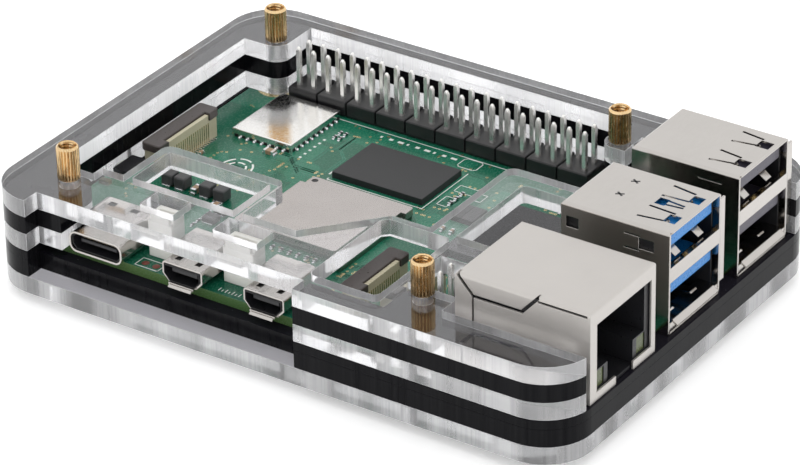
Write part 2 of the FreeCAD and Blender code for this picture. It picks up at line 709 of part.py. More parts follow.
def wire_socket(label, x0, x1, y0, y1, contacts):
    """An upright white socket for a small wire plug, with its contacts inside."""
    top, wall = 6.4, 0.6
    shell = box(label + "_blank", (x0, y0, 0.0), (x1, y1, top))
    well = box(label + "_well", (x0 + wall, y0 + 0.95, 2.6), (x1 - wall, y1 - 0.75, top + 1))
    keys = [box(f"{label}_key{side}", (edge, y0 - 1, 4.0), (edge + 0.5, y0 + 0.55, top + 1))
            for side, edge in enumerate((x0 - 0.1, x1 - 0.4))]
    keep(cut(label + "_housing", shell, [well] + keys), label)
    middle = (x0 + x1) / 2
    return [box(f"{label}_contact{index}",
                (middle + index - (contacts - 1) / 2 - 0.15, y0 + 1.2, 2.6),
                (middle + index - (contacts - 1) / 2 + 0.15, y0 + 1.5, 5.2))
            for index in range(contacts)]


def wire_sockets():
    contacts = wire_socket("battery_socket", 16.8, 20.8, 3.4, 6.4, 2)
    contacts += wire_socket("serial_socket", 29.5, 34.5, 3.1, 6.0, 3)
    keep(grouped("wire_contact_set", contacts), "wire_contacts")


FLEX_DEPTH = 3.1


def flex_socket(label, x0, y0, y1):
    """An upright flat-cable socket: a cream body and a dark latch that lifts."""
    body = box(label + "_base", (x0 + 0.3, y0, 0.0), (x0 + FLEX_DEPTH, y1, 3.3))
    rib = box(label + "_rib", (x0 + 2.5, y0 + 1.9, 3.3), (x0 + FLEX_DEPTH, y1 - 1.9, 4.2))
    slot = box(label + "_slot", (x0 + 2.15, y0 + 0.7, 1.2), (x0 + 2.5, y1 - 0.7, 3.6))
    keep(cut(label + "_housing", joined(label + "_solid", [body, rib]), [slot]), label + "_body")
    strip = box(label + "_strip", (x0, y0, 3.35), (x0 + 2.4, y1, 4.5))
    ears = [box(f"{label}_ear{side}", (x0, low, 3.35), (x0 + 3.3, low + 2.2, 4.5))
            for side, low in enumerate((y0 - 0.4, y1 - 1.8))]
    solid = joined(label + "_latch_solid", [strip] + ears)
    corners = rounded_uprights(label + "_latch_corners", solid, 0.5,
                               lambda end: end.y < y0 - 0.39 or end.y > y1 + 0.39)
    keep(rounded(label + "_latch_shape", corners, 0.2, lambda end: end.z > 4.49), label + "_latch")
    leads = []
    count = int((y1 - y0 - 1.2) / 0.5)
    for index in range(count):
        y = y0 + 0.7 + 0.5 * index
        leads.append(box(f"{label}_lead{index}", (x0 + FLEX_DEPTH, y, 0.0),
                         (x0 + FLEX_DEPTH + 0.6, y + 0.22, 0.2)))
    return leads


def flex_sockets():
    leads = flex_socket("express_socket", 1.55, 22.55, 35.85)
    leads += flex_socket("camera_socket_one", 47.5, 4.65, 16.05)
    leads += flex_socket("camera_socket_two", 53.6, 4.65, 16.05)
    keep(grouped("flex_lead_set", leads), "flex_leads")


def profile_along_y(body, name, points, start):
    """A sketch in the XZ plane at a given Y; its normal looks towards the front."""
    sketch = body.newObject("Sketcher::SketchObject", name)
    upright = next(item for item in body.Origin.OriginFeatures if item.Role == "XZ_Plane")
    sketch.AttachmentSupport = (upright, [""])
    sketch.MapMode = "FlatFace"
    bind(sketch, ".AttachmentOffset.Base.z", -start if isinstance(start, Size) else -1.0 * start)
    add_loop(sketch, points)
    return sketch


def round_along_y(body, radius, heights, name):
    """Round the long edges that run front to back at the given heights."""
    doc.recompute()
    base = body.Tip
    names = []
    for number, edge in enumerate(base.Shape.Edges, start=1):
        a, b = edge.Vertexes[0].Point, edge.Vertexes[-1].Point
        runs_back = abs(a.y - b.y) > 2 and abs(a.x - b.x) < 0.01 and abs(a.z - b.z) < 0.01
        if runs_back and any(abs(a.z - height) < 0.01 for height in heights):
            names.append(f"Edge{number}")
    feature = body.newObject("PartDesign::Fillet", name)
    feature.Base = (base, names)
    feature.Radius = radius
    return feature


def power_port():
    """Rounded metal shell with a flat dark tongue."""
    x, half = size("power_port_x"), size("power_port_width") / 2
    height, wall = size("power_port_height"), 0.3
    front, rear = -1.3, 6.9
    body = new_body("power_port_shell")
    outer = profile_along_y(body, "power_port_outer", rectangle(x - half, 0.0, x + half, height),
                            rear)
    pad(body, outer, rear - front, "power_port_blank")
    inner = profile_along_y(body, "power_port_inner",
                            rectangle(x - half + wall, wall, x + half - wall, height - wall),
                            front - 1.0)
    pocket(body, inner, rear - front + 0.7, "power_port_hollow")
    round_along_y(body, 0.95, (wall, (height - wall).number), "power_port_hollow_corners")
    round_along_y(body, 1.25, (0.0, height.number), "power_port_corners")
    windows = new_sketch(body, "power_port_windows", height + 1)
    for shift in (-1.9, 1.9):
        add_loop(windows, rectangle(x + shift - 0.6, 4.9, x + shift + 0.6, 5.9))
    pocket(body, windows, 1.6, "power_port_window_cut")
    keep(body, "power_port_shell")
    middle = size("power_port_height") / 2
    back = box("power_port_back", (x - half + 1.0, 5.0, 0.4), (x + half - 1.0, 6.5, height - 0.4))
    blade = box("power_port_blade", (x - 3.1, -0.5, middle - 0.35), (x + 3.1, 5.1, middle + 0.35))
    keep(rounded("power_port_core", joined("power_port_plastic", [back, blade]), 0.3,
                 lambda end: end.y < -0.49), "power_port_tongue")


def video_port(label, x):
    """Small video socket: a folded shell with cut lower corners and a thin tongue."""
    half = size("video_port_width") / 2
    height, wall = size("video_port_height"), 0.28
    front, rear = -1.2, 6.3
    body = new_body(label + "_shell")
    low, foot = 1.35, 0.25

    def section(inset):
        return [(x - half + inset, height - inset), (x - half + inset, low + inset * 0.4),
                (x - half + 1.05 + inset * 0.4, foot + inset), (x + half - 1.05 - inset * 0.4,
                                                                foot + inset),
                (x + half - inset, low + inset * 0.4), (x + half - inset, height - inset)]

    pad(body, profile_along_y(body, label + "_outer", section(0.0), rear), rear - front,
        label + "_blank")
    round_along_y(body, 0.45, (height.number,), label + "_corners")
    pocket(body, profile_along_y(body, label + "_inner", section(wall), front - 1.0),
           rear - front + 0.7, label + "_hollow")
    windows = new_sketch(body, label + "_windows", height + 1)
    for shift in (-1.65, 1.65):
        add_loop(windows, rectangle(x + shift - 0.45, 0.0, x + shift + 0.45, 1.0))
    pocket(body, windows, 1.5, label + "_window_cut")
    lip = new_sketch(body, label + "_lip", foot - 0.12)
    add_loop(lip, rectangle(x - 2.05, front - 0.45, x + 2.05, front + 0.6))
    pad(body, lip, 0.3, label + "_lip_plate")
    keep(body, label + "_shell")
    back = box(label + "_back", (x - half + 0.6, 4.4, 1.55), (x + half - 0.6, 5.9, height - 0.4))
    blade = box(label + "_blade", (x - 2.1, -0.6, 1.6), (x + 2.1, 4.5, 2.15))
    keep(joined(label + "_plastic", [back, blade]), label + "_tongue")


# ---------------------------------------------------------------- large connectors

def usb_stack(label, y0, slits, windows, side_window):
    """Two stacked sockets: folded shell with spring slots, plastic core and contacts."""
    rear, front = size("usb_rear"), size("usb_front")
    width, height, wall = size("usb_width"), size("usb_height"), size("shell_wall")
    low_shelf, high_shelf = size("shelf_low"), size("shelf_high")
    y1 = y0 + width
    blank = box(label + "_blank", (rear, y0, 0.0), (front, y1, height))
    folded = rounded(label + "_folded", blank, 0.45,
                     lambda end: end.z > height.number - 0.01)
    hollow = box(label + "_hollow", (rear + wall, y0 + wall, wall), (front + 1, y1 - wall,
                                                                     height - wall))
    openings = [hollow]
    for index, (x, y, length, turn) in enumerate(slits):
        openings.append(turned_box(f"{label}_slit{index}", (x, y0 + y, height - 1),
                                   (length, 0.42, 2.0), turn))
    for index, (x0, w0, x1, w1) in enumerate(windows):
        openings.append(box(f"{label}_window{index}", (x0, y0 + w0, height - 1),
                            (x1, y0 + w1, height + 1)))
    for index, (x0, z0, x1, z1) in enumerate(side_window):
        openings.append(box(f"{label}_side{index}", (x0, y0 - 1, z0), (x1, y0 + 1, z1)))
    shell = cut(label + "_case", folded, openings)
    shelf = box(label + "_shelf", (front - 0.9, y0 + wall / 2, low_shelf),
                (front, y1 - wall / 2, high_shelf))
    far_flange = box(label + "_far_flange", (front - 0.35, y1 - 0.1, 1.9), (front - 0.05, y1 + 1.2,
                                                                           height - 1.0))
    foot_flange = turned_box(label + "_foot_flange", (front - 0.3, y0 + 1.2, 1.75),
                             (1.0, 10.6, 0.3), 35, Vector(0, 1, 0))
    sill = box(label + "_sill", (front - 3.0, y0 + wall / 2, wall / 2), (front - 0.1, y1 - wall / 2,
                                                                         1.7))
    keep(joined(label + "_metal", [shell, shelf, far_flange, foot_flange, sill]), label + "_shell")

    core = box(label + "_block", (rear + 0.5, y0 + 0.5, 0.5), (rear + 4.2, y1 - 0.5, height - 0.5))
    tongues, contacts = [core], []
    for tier, z in enumerate((5.5, 12.6)):
        blade = box(f"{label}_tongue{tier}", (rear + 4.1, y0 + 1.1, z), (front - 0.7, y1 - 1.1,
                                                                         z + 1.9))
        tongues.append(rounded(f"{label}_blade{tier}", blade, 0.3,
                               lambda end: end.x > front.number - 0.71))
        for pin in range(4):
            y = y0 + 2.6 + 2.35 * pin
            contacts.append(box(f"{label}_pad{tier}_{pin}", (rear + 4.8, y, z - 0.18),
                                (front - 1.5, y + 0.9, z)))
    keep(joined(label + "_plastic", tongues), label + "_core")
    return contacts


def usb_ports():
    """The fast stack by the network jack and the slow stack at the far corner."""
    fast_slits = [(81.0, 2.0, 3.7, 8), (81.0, 5.1, 4.2, -4), (81.0, 8.3, 4.0, 4),
                  (81.0, 11.3, 3.8, -9), (82.4, 6.3, 2.9, 6), (82.4, 7.4, 2.8, -6)]
    fast_windows = [(84.6, 2.6, 86.4, 4.7), (81.2, 6.1, 82.7, 7.9), (84.8, 8.7, 86.5, 10.6)]
    fast_side = [(71.5, 11.9, 73.4, 13.5), (82.6, 11.9, 84.9, 13.5), (80.4, 13.6, 82.7, 13.8),
                 (80.4, 11.5, 82.7, 11.7)]
    slow_slits = [(81.2, 2.2, 3.6, 10), (81.2, 5.2, 3.6, -8), (81.2, 8.2, 3.6, 10),
                  (81.2, 11.2, 3.6, -8)]
    slow_windows = [(84.6, 2.7, 86.6, 4.6), (84.6, 8.7, 86.6, 10.6)]
    slow_side = [(81.0, 13.6, 84.6, 13.8), (81.0, 10.6, 84.6, 10.8)]
    contacts = usb_stack("usb_fast", size("usb_fast_y"), fast_slits, fast_windows, fast_side)
    contacts += usb_stack("usb_slow", size("usb_slow_y"), slow_slits, slow_windows, slow_side)
    keep(grouped("usb_contact_set", contacts), "usb_contacts")


def network_jack():
    """Shielded eight-contact jack with its latch notch at the bottom."""
    rear, front = size("jack_rear"), size("jack_front")
    y0, y1 = size("jack_y"), size("jack_y") + size("jack_width")
    height, wall = size("jack_height"), size("shell_wall")
    blank = box("jack_blank", (rear, y0, 0.0), (front, y1, height))
    folded = rounded("jack_folded", blank, 0.5, lambda end: end.z > height.number - 0.01)
    hollow = box("jack_hollow", (rear + wall, y0 + wall, -1.0), (front - wall, y1 - wall,
                                                                 height - wall))
    mouth = box("jack_mouth", (front - 1, y0 + 1.6, 1.25), (front + 1, y1 - 1.0, 11.3))
    notch = box("jack_notch", (front - 1, y0 + 6.3, -1.0), (front + 1, y0 + 10.6, 1.3))
    seam_z, seam_width = 10.5, 0.48
    near = y0 - 1
    seams = [turned_box("jack_seam_a", (rear - 0.1, near, height), (4.0, 2.0, seam_width), 47,
                        Vector(0, 1, 0)),
             box("jack_seam_b", (69.9, near, seam_z), (77.6, y0 + 1, seam_z + seam_width)),
             turned_box("jack_seam_c", (77.5, near, seam_z), (3.75, 2.0, seam_width), -48,
                        Vector(0, 1, 0)),
             box("jack_seam_d", (69.8, near, -1.0), (70.08, y0 + 1, seam_z + 0.2)),
             box("jack_seam_e", (79.8, near, height - 0.72), (front - 0.5, y0 + 1, height - 0.4))]
    keep(cut("jack_case", folded, [hollow, mouth, notch] + seams), "network_jack_shell")

    inner = box("jack_block", (rear + 0.5, y0 + 0.5, 0.1), (front - 0.45, y1 - 0.5, height - 0.5))
    cavity = box("jack_cavity", (75.0, y0 + 2.1, 4.1), (front + 1, y1 - 2.1, 10.9))
    latch_way = box("jack_latch_way", (80.0, y0 + 4.9, 0.6), (front + 1, y1 - 4.9, 4.2))
    light_spots = (y0 + 1.9, y1 - 4.0)
    light_ways = [box(f"jack_light_way{side}", (84.4, low, 1.3), (front + 1, low + 2.1, 3.9))
                  for side, low in enumerate(light_spots)]
    keep(cut("jack_plastic", inner, [cavity, latch_way] + light_ways), "network_jack_core")
    lights = [box(f"jack_light{side}", (84.45, low + 0.05, 1.35), (87.1, low + 2.05, 3.8))
              for side, low in enumerate(light_spots)]
    keep(grouped("jack_light_set", lights), "network_jack_lights")
    springs = [turned_box(f"jack_spring{index}", (75.2, y0 + 4.23 + 1.02 * index, 8.4),
                          (9.3, 0.4, 0.2), -12, Vector(0, 1, 0)) for index in range(8)]
    keep(grouped("jack_spring_set", springs), "network_jack_contacts")


# ---------------------------------------------------------------- edge and underside

def power_switch():
    """Side-push switch on the left edge: a housing and the button that slides in it."""
    x0, y0, y1 = 0.0, 17.6, 22.1
    low, high = 0.55, 1.65
    shell = box("switch_blank", (x0, y0, 0.0), (2.6, y1, 2.0))
    way = box("switch_way", (x0 - 1, 18.85, low), (1.2, 20.85, high))
    keep(cut("switch_shell", shell, [way]), "power_switch_housing")
    stem = box("button_stem", (-0.85, 18.95, low + 0.1), (0.75, 20.75, high - 0.1))
    keep(rounded("button_shape", stem, 0.15, lambda end: end.x < -0.84), "power_button")
    chip("status_light", 0.5, 13.6, 2.1, 14.5, 0.65, 0.1)


def card_socket():
    """Flat metal card slot on the underside, open towards the left edge."""
    top = BOARD_UNDER - 0.02
    cover = box("card_cover", (1.8, 21.6, top - 1.35), (15.9, 34.4, top))
    way = box("card_way", (0.8, 22.4, top - 1.1), (15.0, 33.6, top - 0.3))
    keep(cut("card_case", cover, [way]), "card_socket")


standoffs()
case_screws()
circuit_board()
chips()
header()
power_header()
wire_sockets()
flex_sockets()
power_port()
video_port("video_port_one", size("video_port_first"))
video_port("video_port_two", size("video_port_second"))
usb_ports()
network_jack()
power_switch()
card_socket()
doc.recompute()

# ---------------------------------------------------------------- checks and export

failed = [item.Name for item in doc.Objects if {"Invalid", "Error"} & set(item.State)]
if failed:
    raise RuntimeError(f"objects that did not compute: {failed}")
for item in nodes:
    if item.Shape.isNull() or not item.Shape.isValid() or not item.Shape.Solids:
        raise RuntimeError(f"bad shape: {item.Label}")

os.makedirs("parts", exist_ok=True)
for item in nodes:
    item.Shape.exportStep(f"parts/{item.Label}.step")
    print(f"{item.Label:24s} {len(item.Shape.Solids):3d} solids {item.Shape.Volume:10.2f} mm3")
whole = FreeCAD.BoundBox()
for item in nodes:
    whole.add(item.Shape.BoundBox)
print(f"{len(nodes)} sub-parts, {whole.XLength:.2f} x {whole.YLength:.2f} x {whole.ZLength:.2f} mm")
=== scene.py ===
import json
import math
import random

import bmesh
import bpy
from mathutils import Matrix, Vector


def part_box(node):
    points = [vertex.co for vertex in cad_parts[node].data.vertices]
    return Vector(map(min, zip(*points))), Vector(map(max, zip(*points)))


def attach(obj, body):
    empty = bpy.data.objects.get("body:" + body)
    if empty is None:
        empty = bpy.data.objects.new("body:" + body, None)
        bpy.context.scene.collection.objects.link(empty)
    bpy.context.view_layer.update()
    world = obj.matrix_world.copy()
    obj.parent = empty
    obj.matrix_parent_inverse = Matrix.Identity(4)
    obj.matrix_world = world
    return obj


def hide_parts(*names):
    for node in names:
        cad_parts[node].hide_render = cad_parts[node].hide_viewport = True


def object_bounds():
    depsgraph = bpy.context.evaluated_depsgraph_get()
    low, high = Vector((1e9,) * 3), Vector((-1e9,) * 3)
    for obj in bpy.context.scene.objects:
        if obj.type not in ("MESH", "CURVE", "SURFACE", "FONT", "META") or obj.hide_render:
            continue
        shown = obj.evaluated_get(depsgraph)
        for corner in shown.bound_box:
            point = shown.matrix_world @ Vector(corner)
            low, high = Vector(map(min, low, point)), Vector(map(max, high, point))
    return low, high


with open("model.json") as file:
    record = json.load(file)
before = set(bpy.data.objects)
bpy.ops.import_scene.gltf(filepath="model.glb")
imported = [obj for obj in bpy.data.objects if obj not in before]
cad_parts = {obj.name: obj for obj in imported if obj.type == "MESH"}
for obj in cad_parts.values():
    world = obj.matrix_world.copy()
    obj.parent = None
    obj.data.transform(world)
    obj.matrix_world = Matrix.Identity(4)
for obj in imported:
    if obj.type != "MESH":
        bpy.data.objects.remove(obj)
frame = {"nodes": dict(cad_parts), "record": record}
CAD_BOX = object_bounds()
NODES = frame["nodes"]
MM = 0.001
ROOT = "board"
TURN = 2 * math.pi

CAD_WELD = 1e-6      # metres; joins the corners that a CAD mesh repeats
DRAFT_WELD = 1e-8    # metres; joins corners drawn twice at one place

# Board millimetres start at the front left corner of the circuit board's top face.
board_low, board_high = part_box("circuit_board")
BOARD_ORIGIN = Vector((board_low.x, board_low.y, board_high.z))


def at(x, y, z):
    """A point given in board millimetres, in the row frame."""
    return BOARD_ORIGIN + Vector((x, y, z)) * MM


def span(node):
    """Lowest and highest corners of a CAD node, in board millimetres."""
    return [(corner - BOARD_ORIGIN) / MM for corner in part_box(node)]


def islands(node):
    """Corner pairs, in board millimetres, of the separate solids inside a CAD node."""
    shape = bmesh.new()
    shape.from_mesh(NODES[node].data)
    bmesh.ops.remove_doubles(shape, verts=shape.verts, dist=CAD_WELD)
    unseen = set(shape.verts)
    found = []
    while unseen:
        front = [unseen.pop()]
        points = []
        while front:
            vertex = front.pop()
            points.append((vertex.co - BOARD_ORIGIN) / MM)
            for edge in vertex.link_edges:
                other = edge.other_vert(vertex)
                if other in unseen:
                    unseen.remove(other)
                    front.append(other)
        found.append((Vector([min(p[axis] for p in points) for axis in range(3)]),
                      Vector([max(p[axis] for p in points) for axis in range(3)])))
    shape.free()
    return sorted(found, key=lambda pair: (round(pair[0].y, 2), round(pair[0].x, 2)))


# ---------------------------------------------------------------- materials

class Recipe:
    """A material with one Principled shader and short helpers for its nodes."""

    def __init__(self, name, **inputs):
        self.material = bpy.data.materials.new(name)
        self.material.use_nodes = True
        self.tree = self.material.node_tree
        self.shader = self.tree.nodes["Principled BSDF"]
        self.set(self.shader, inputs)
        self.place = self.tree.nodes.new("ShaderNodeTexCoord").outputs["Object"]

    def set(self, node, inputs):
        """Put plain values on a node's own inputs and link the outputs of other nodes."""
        for name, value in inputs.items():
            key = name if isinstance(name, int) else name.replace("_", " ")
            socket = node.inputs[key]
            if isinstance(value, bpy.types.NodeSocket):
                self.tree.links.new(value, socket)
            elif socket.type == "RGBA":
                socket.default_value = (*value, 1.0)
            else:
                socket.default_value = value

    def add(self, kind, settings=None, **inputs):
        node = self.tree.nodes.new("ShaderNode" + kind)
        for name, value in (settings or {}).items():
            setattr(node, name, value)
        self.set(node, inputs)
        return node

    def stretched(self, x=1.0, y=1.0, z=1.0):
        return self.add("Mapping", Vector=self.place, Scale=(x, y, z)).outputs[0]

    def noise(self, scale, detail=2.0, vector=None, roughness=0.5):
        return self.add("TexNoise", Vector=vector or self.place, Scale=scale, Detail=detail,
                        Roughness=roughness).outputs["Fac"]

    def remap(self, value, low, high, start=0.3, end=0.7):
        node = self.add("MapRange", Value=value, From_Min=start, From_Max=end, To_Min=low,
                        To_Max=high)
        return node.outputs[0]

    def mix(self, factor, first, second):
        node = self.add("Mix", {"data_type": "RGBA"})
        self.set(node, {0: factor, 6: first, 7: second})
        return node.outputs[2]

    def blend(self, factor, first, second):
        node = self.add("Mix", {"data_type": "FLOAT"})
        self.set(node, {0: factor, 2: first, 3: second})
        return node.outputs[0]

    def math(self, operation, first, second):
        node = self.add("Math", {"operation": operation})
        self.set(node, {0: first, 1: second})
        return node.outputs[0]

    def worn_normal(self, radius, height, strength, distance):
        """Edges rolled over by a radius in millimetres, under a fine relief."""
        soft = self.add("Bevel", {"samples": 4}, Radius=radius * MM).outputs[0]
        return self.add("Bump", Height=height, Strength=strength, Distance=distance,
                        Normal=soft).outputs[0]

    def rim(self, radius, start=0.8, end=0.97):
        """1 along sharp edges, 0 on the faces between them."""
        soft = self.add("Bevel", {"samples": 6}, Radius=radius * MM).outputs[0]
        plain = self.add("NewGeometry").outputs["Normal"]
        match = self.add("VectorMath", {"operation": "DOT_PRODUCT"})
        self.set(match, {0: soft, 1: plain})
        return self.remap(match.outputs["Value"], 1.0, 0.0, start, end)

    def facing_up(self):
        """1 on horizontal faces, 0 on upright ones."""
        normal = self.add("NewGeometry").outputs["Normal"]
        height = self.add("SeparateXYZ", Vector=normal).outputs["Z"]
        return self.math("GREATER_THAN", self.math("ABSOLUTE", height, 0.0), 0.7)


def tinted(colour, factor):
    """A colour made lighter or darker."""
    return tuple(min(1.0, max(0.0, channel * factor)) for channel in colour)


def grained(name, colour, rough, metallic=0.0, grain=2500.0, stretch=(1, 1, 1), variety=0.12,
            rough_spread=0.08, relief=0.12, depth=0.00002, cloud=180.0, edge=0.06, **more):
    """Fine grain, soft blotches, a slightly uneven gloss and rolled edges."""
    recipe = Recipe(name, Metallic=metallic, **more)
    place = recipe.stretched(*stretch)
    fine = recipe.noise(grain, 3.0, place)
    blotch = recipe.noise(cloud, 3.0, None, 0.6)
    shade = recipe.remap(blotch, 0.0, 1.0)
    base = recipe.mix(shade, tinted(colour, 1 - variety), tinted(colour, 1 + variety))
    speck = recipe.mix(recipe.remap(fine, 0.0, 0.5), base, tinted(colour, 1 + variety * 2))
    gloss = recipe.remap(fine, max(0.02, rough - rough_spread), rough + rough_spread)
    normal = recipe.worn_normal(edge, fine, relief, depth)
    recipe.set(recipe.shader, {"Base Color": speck, "Roughness": gloss, "Normal": normal})
    return recipe.material


def clear_sheet(name, face_tint_and_shade):
    """Polished faces with a given tint, which on the floor plate is darker as painted shade; rims
    made less clear as a painted highlight; cut edges with upright striations.
    """
    recipe = Recipe(name, IOR=1.49)
    face = recipe.facing_up()
    lines = recipe.noise(2600.0, 2.0, recipe.stretched(1.0, 1.0, 0.02), 0.6)
    broad = recipe.noise(160.0, 1.0, recipe.stretched(1.0, 1.0, 0.04), 0.5)
    patches = recipe.noise(150.0, 1.0, recipe.stretched(1.0, 1.0, 0.1))
    smudge = recipe.noise(55.0, 4.0, None, 0.6)
    frost = recipe.math("ADD", recipe.remap(lines, -0.1, 0.1),
                        recipe.remap(patches, 0.0, 0.6, 0.4, 0.6))
    passing = recipe.blend(face, recipe.remap(frost, 0.84, 0.6, 0.0, 0.6), 1.0)
    # Along every rim the sheet is made less clear, so it shows as a thin white line: a painted
    # highlight.
    passing = recipe.blend(recipe.rim(0.13), passing, 0.2)
    rough = recipe.blend(face, recipe.remap(lines, 0.06, 0.24), recipe.remap(smudge, 0.0, 0.006))
    edge_colour = recipe.mix(recipe.remap(lines, 0.0, 1.0, 0.25, 0.6), (0.94, 0.94, 0.97),
                             (0.99, 0.99, 1.0))
    colour = recipe.mix(face, edge_colour, face_tint_and_shade)
    height = recipe.math("MULTIPLY", recipe.math("ADD", lines, broad),
                         recipe.math("SUBTRACT", 1.0, face))
    normal = recipe.worn_normal(0.1, height, 0.05, 0.00004)
    recipe.set(recipe.shader, {"Base Color": colour, "Roughness": rough, "Normal": normal,
                               "Transmission Weight": passing})
    return recipe.material


def black_sheet(name):
    """Glossy black faces with faint dust; cut edges nearly as smooth."""
    recipe = Recipe(name, IOR=1.17)
    face = recipe.facing_up()
    lines = recipe.noise(1800.0, 3.0, recipe.stretched(1.0, 1.0, 0.02), 0.6)
    smudge = recipe.noise(70.0, 4.0, None, 0.6)
    dust = recipe.remap(recipe.noise(3600.0, 1.0), 0.0, 1.0, 0.75, 0.82)
    haze = recipe.mix(recipe.remap(smudge, 0.0, 1.0), (0.008, 0.0075, 0.011),
                      (0.012, 0.011, 0.016))
    edge = recipe.mix(recipe.remap(lines, 0.0, 1.0), (0.002, 0.002, 0.003), (0.008, 0.008, 0.009))
    colour = recipe.mix(face, edge, recipe.mix(dust, haze, (0.09, 0.09, 0.1)))
    rough = recipe.blend(face, recipe.remap(lines, 0.04, 0.14), recipe.remap(smudge, 0.0, 0.025))
    height = recipe.math("MULTIPLY", lines, recipe.math("SUBTRACT", 1.0, face))
    recipe.set(recipe.shader, {"Base Color": colour, "Roughness": rough, "Normal":
                               recipe.worn_normal(0.05, height, 0.25, 0.00003)})
    return recipe.material


def lacquered_board(name):
    """Green solder mask over copper: lighter poured areas, darker gaps, fine weave."""
    recipe = Recipe(name, IOR=1.42)
    weave = recipe.noise(5200.0, 2.0, recipe.stretched(1.0, 0.4, 1.0))
    pour = recipe.add("TexVoronoi", {"feature": "F1", "distance": "CHEBYCHEV"},
                      Vector=recipe.place, Scale=130.0).outputs["Color"]
    patch = recipe.remap(recipe.add("SeparateXYZ", Vector=pour).outputs["X"], 0.0, 1.0, 0.42, 0.5)
    cloud = recipe.remap(recipe.noise(60.0, 3.0), 0.0, 1.0)
    bare = recipe.mix(cloud, (0.008, 0.108, 0.06), (0.012, 0.13, 0.074))
    copper = recipe.mix(cloud, (0.013, 0.155, 0.088), (0.02, 0.18, 0.106))
    lacquer = recipe.mix(patch, bare, copper)
    glass = recipe.mix(cloud, (0.05, 0.105, 0.035), (0.08, 0.14, 0.05))
    colour = recipe.mix(recipe.facing_up(), glass, lacquer)
    rough = recipe.remap(weave, 0.16, 0.34)
    recipe.set(recipe.shader, {"Base Color": colour, "Roughness": rough, "Normal":
                               recipe.worn_normal(0.05, weave, 0.08, 0.00002)})
    return recipe.material


MATERIALS = {
    "clear_acrylic": clear_sheet("clear_acrylic_look", (0.978, 0.976, 0.996)),
    "black_acrylic": black_sheet("black_acrylic_look"),
    "brass": grained("brass_look", (0.68, 0.49, 0.27), 0.22, 1.0, 5000, (1, 1, 0.15), 0.2),
    "screw_steel": grained("screw_look", (0.6, 0.6, 0.6), 0.22, 1.0, 3000, (1, 1, 4)),
    "board_green": lacquered_board("board_look"),
    "lid_metal": grained("lid_look", (0.43, 0.4, 0.385), 0.3, 1.0, 7000, variety=0.05, edge=0.12),
    "substrate": grained("substrate_look", (0.02, 0.09, 0.05), 0.4),
    "chip_black": grained("chip_look", (0.013, 0.0135, 0.015), 0.48, 0.0, 8000, edge=0.1),
    "chip_glossy": grained("chip_glossy_look", (0.022, 0.022, 0.026), 0.3, 0.0, 5000, edge=0.1),
    "shield_metal": grained("shield_look", (0.8, 0.79, 0.77), 0.17, 1.0, 3500, relief=0.02,
                            variety=0.03, edge=0.12),
    "coil_grey": grained("coil_look", (0.06, 0.06, 0.062), 0.5, 0.0, 5000),
    "ceramic_tan": grained("ceramic_look", (0.32, 0.21, 0.13), 0.4),
    "resistor_black": grained("resistor_look", (0.03, 0.03, 0.035), 0.35),
    "pin_metal": grained("pin_look", (0.9, 0.89, 0.87), 0.24, 0.9, 900, relief=0.01,
                         variety=0.03, rough_spread=0.03, edge=0.12),
    "header_black": grained("header_look", (0.011, 0.011, 0.012), 0.36, 0.0, 6000, edge=0.1),
    "solder": grained("solder_look", (0.7, 0.71, 0.73), 0.22, 1.0, edge=0.08),
    "socket_white": grained("socket_white_look", (0.8, 0.79, 0.75), 0.4, variety=0.03, edge=0.1),
    "socket_cream": grained("socket_cream_look", (0.5, 0.46, 0.33), 0.42, variety=0.06),
    "latch_brown": grained("latch_look", (0.045, 0.035, 0.032), 0.35, edge=0.1),
    "contact_gold": grained("contact_look", (0.6, 0.46, 0.22), 0.22, 1.0),
    "shell_metal": grained("shell_look", (0.5, 0.477, 0.453), 0.16, 1.0, 1400, (1, 0.3, 1),
                           relief=0.006, variety=0.02, rough_spread=0.03, edge=0.14),
    "core_black": grained("core_black_look", (0.012, 0.012, 0.014), 0.35),
    "core_blue": grained("core_blue_look", (0.008, 0.165, 0.46), 0.3, edge=0.15),
    "core_grey": grained("core_grey_look", (0.05, 0.045, 0.065), 0.35, edge=0.15),
    "light_lens": grained("lens_look", (0.07, 0.085, 0.035), 0.22),
    "button_grey": grained("button_look", (0.7, 0.69, 0.65), 0.4),
}
PRINT_LOOK = grained("board_print_look", (0.78, 0.8, 0.77), 0.5, variety=0.04)
TRACE_LOOK = grained("board_trace_look", (0.022, 0.185, 0.115), 0.24, variety=0.08, edge=0.03)
PLATED_LOOK = grained("plated_ring_look", (0.62, 0.52, 0.3), 0.25, 1.0, edge=0.03)
RUST_LOOK = grained("test_pad_look", (0.16, 0.03, 0.015), 0.35)
# The floor plate gets a darker grey-violet tint: painted shade for the shadow under the case.
SHADED_FLOOR_PLATE_LOOK = clear_sheet("floor_plate_painted_shade_look", (0.76, 0.75, 0.79))
# A lighter, less metallic copy of the shell metal for the network jack, so its sides come out
# brighter: painted light.
BRIGHTENED_JACK_LOOK = grained("network_jack_brightened_look", (0.53, 0.505, 0.48), 0.4, 0.7, 1400, (1, 0.3, 1),
                    relief=0.006, variety=0.02, rough_spread=0.03, edge=0.14)
OWN_LOOKS = {"network_jack_shell": BRIGHTENED_JACK_LOOK, "base_plate": SHADED_FLOOR_PLATE_LOOK}
for entry in frame["record"]["subparts"]:
    for spot in NODES[entry["node"]].material_slots:
        spot.material = OWN_LOOKS.get(entry["node"], MATERIALS[entry["material_slot"]])


# ---------------------------------------------------------------- drawing tools

SHARPEST_MITRE = 0.4    # keeps the corners of a strip from running out to a point


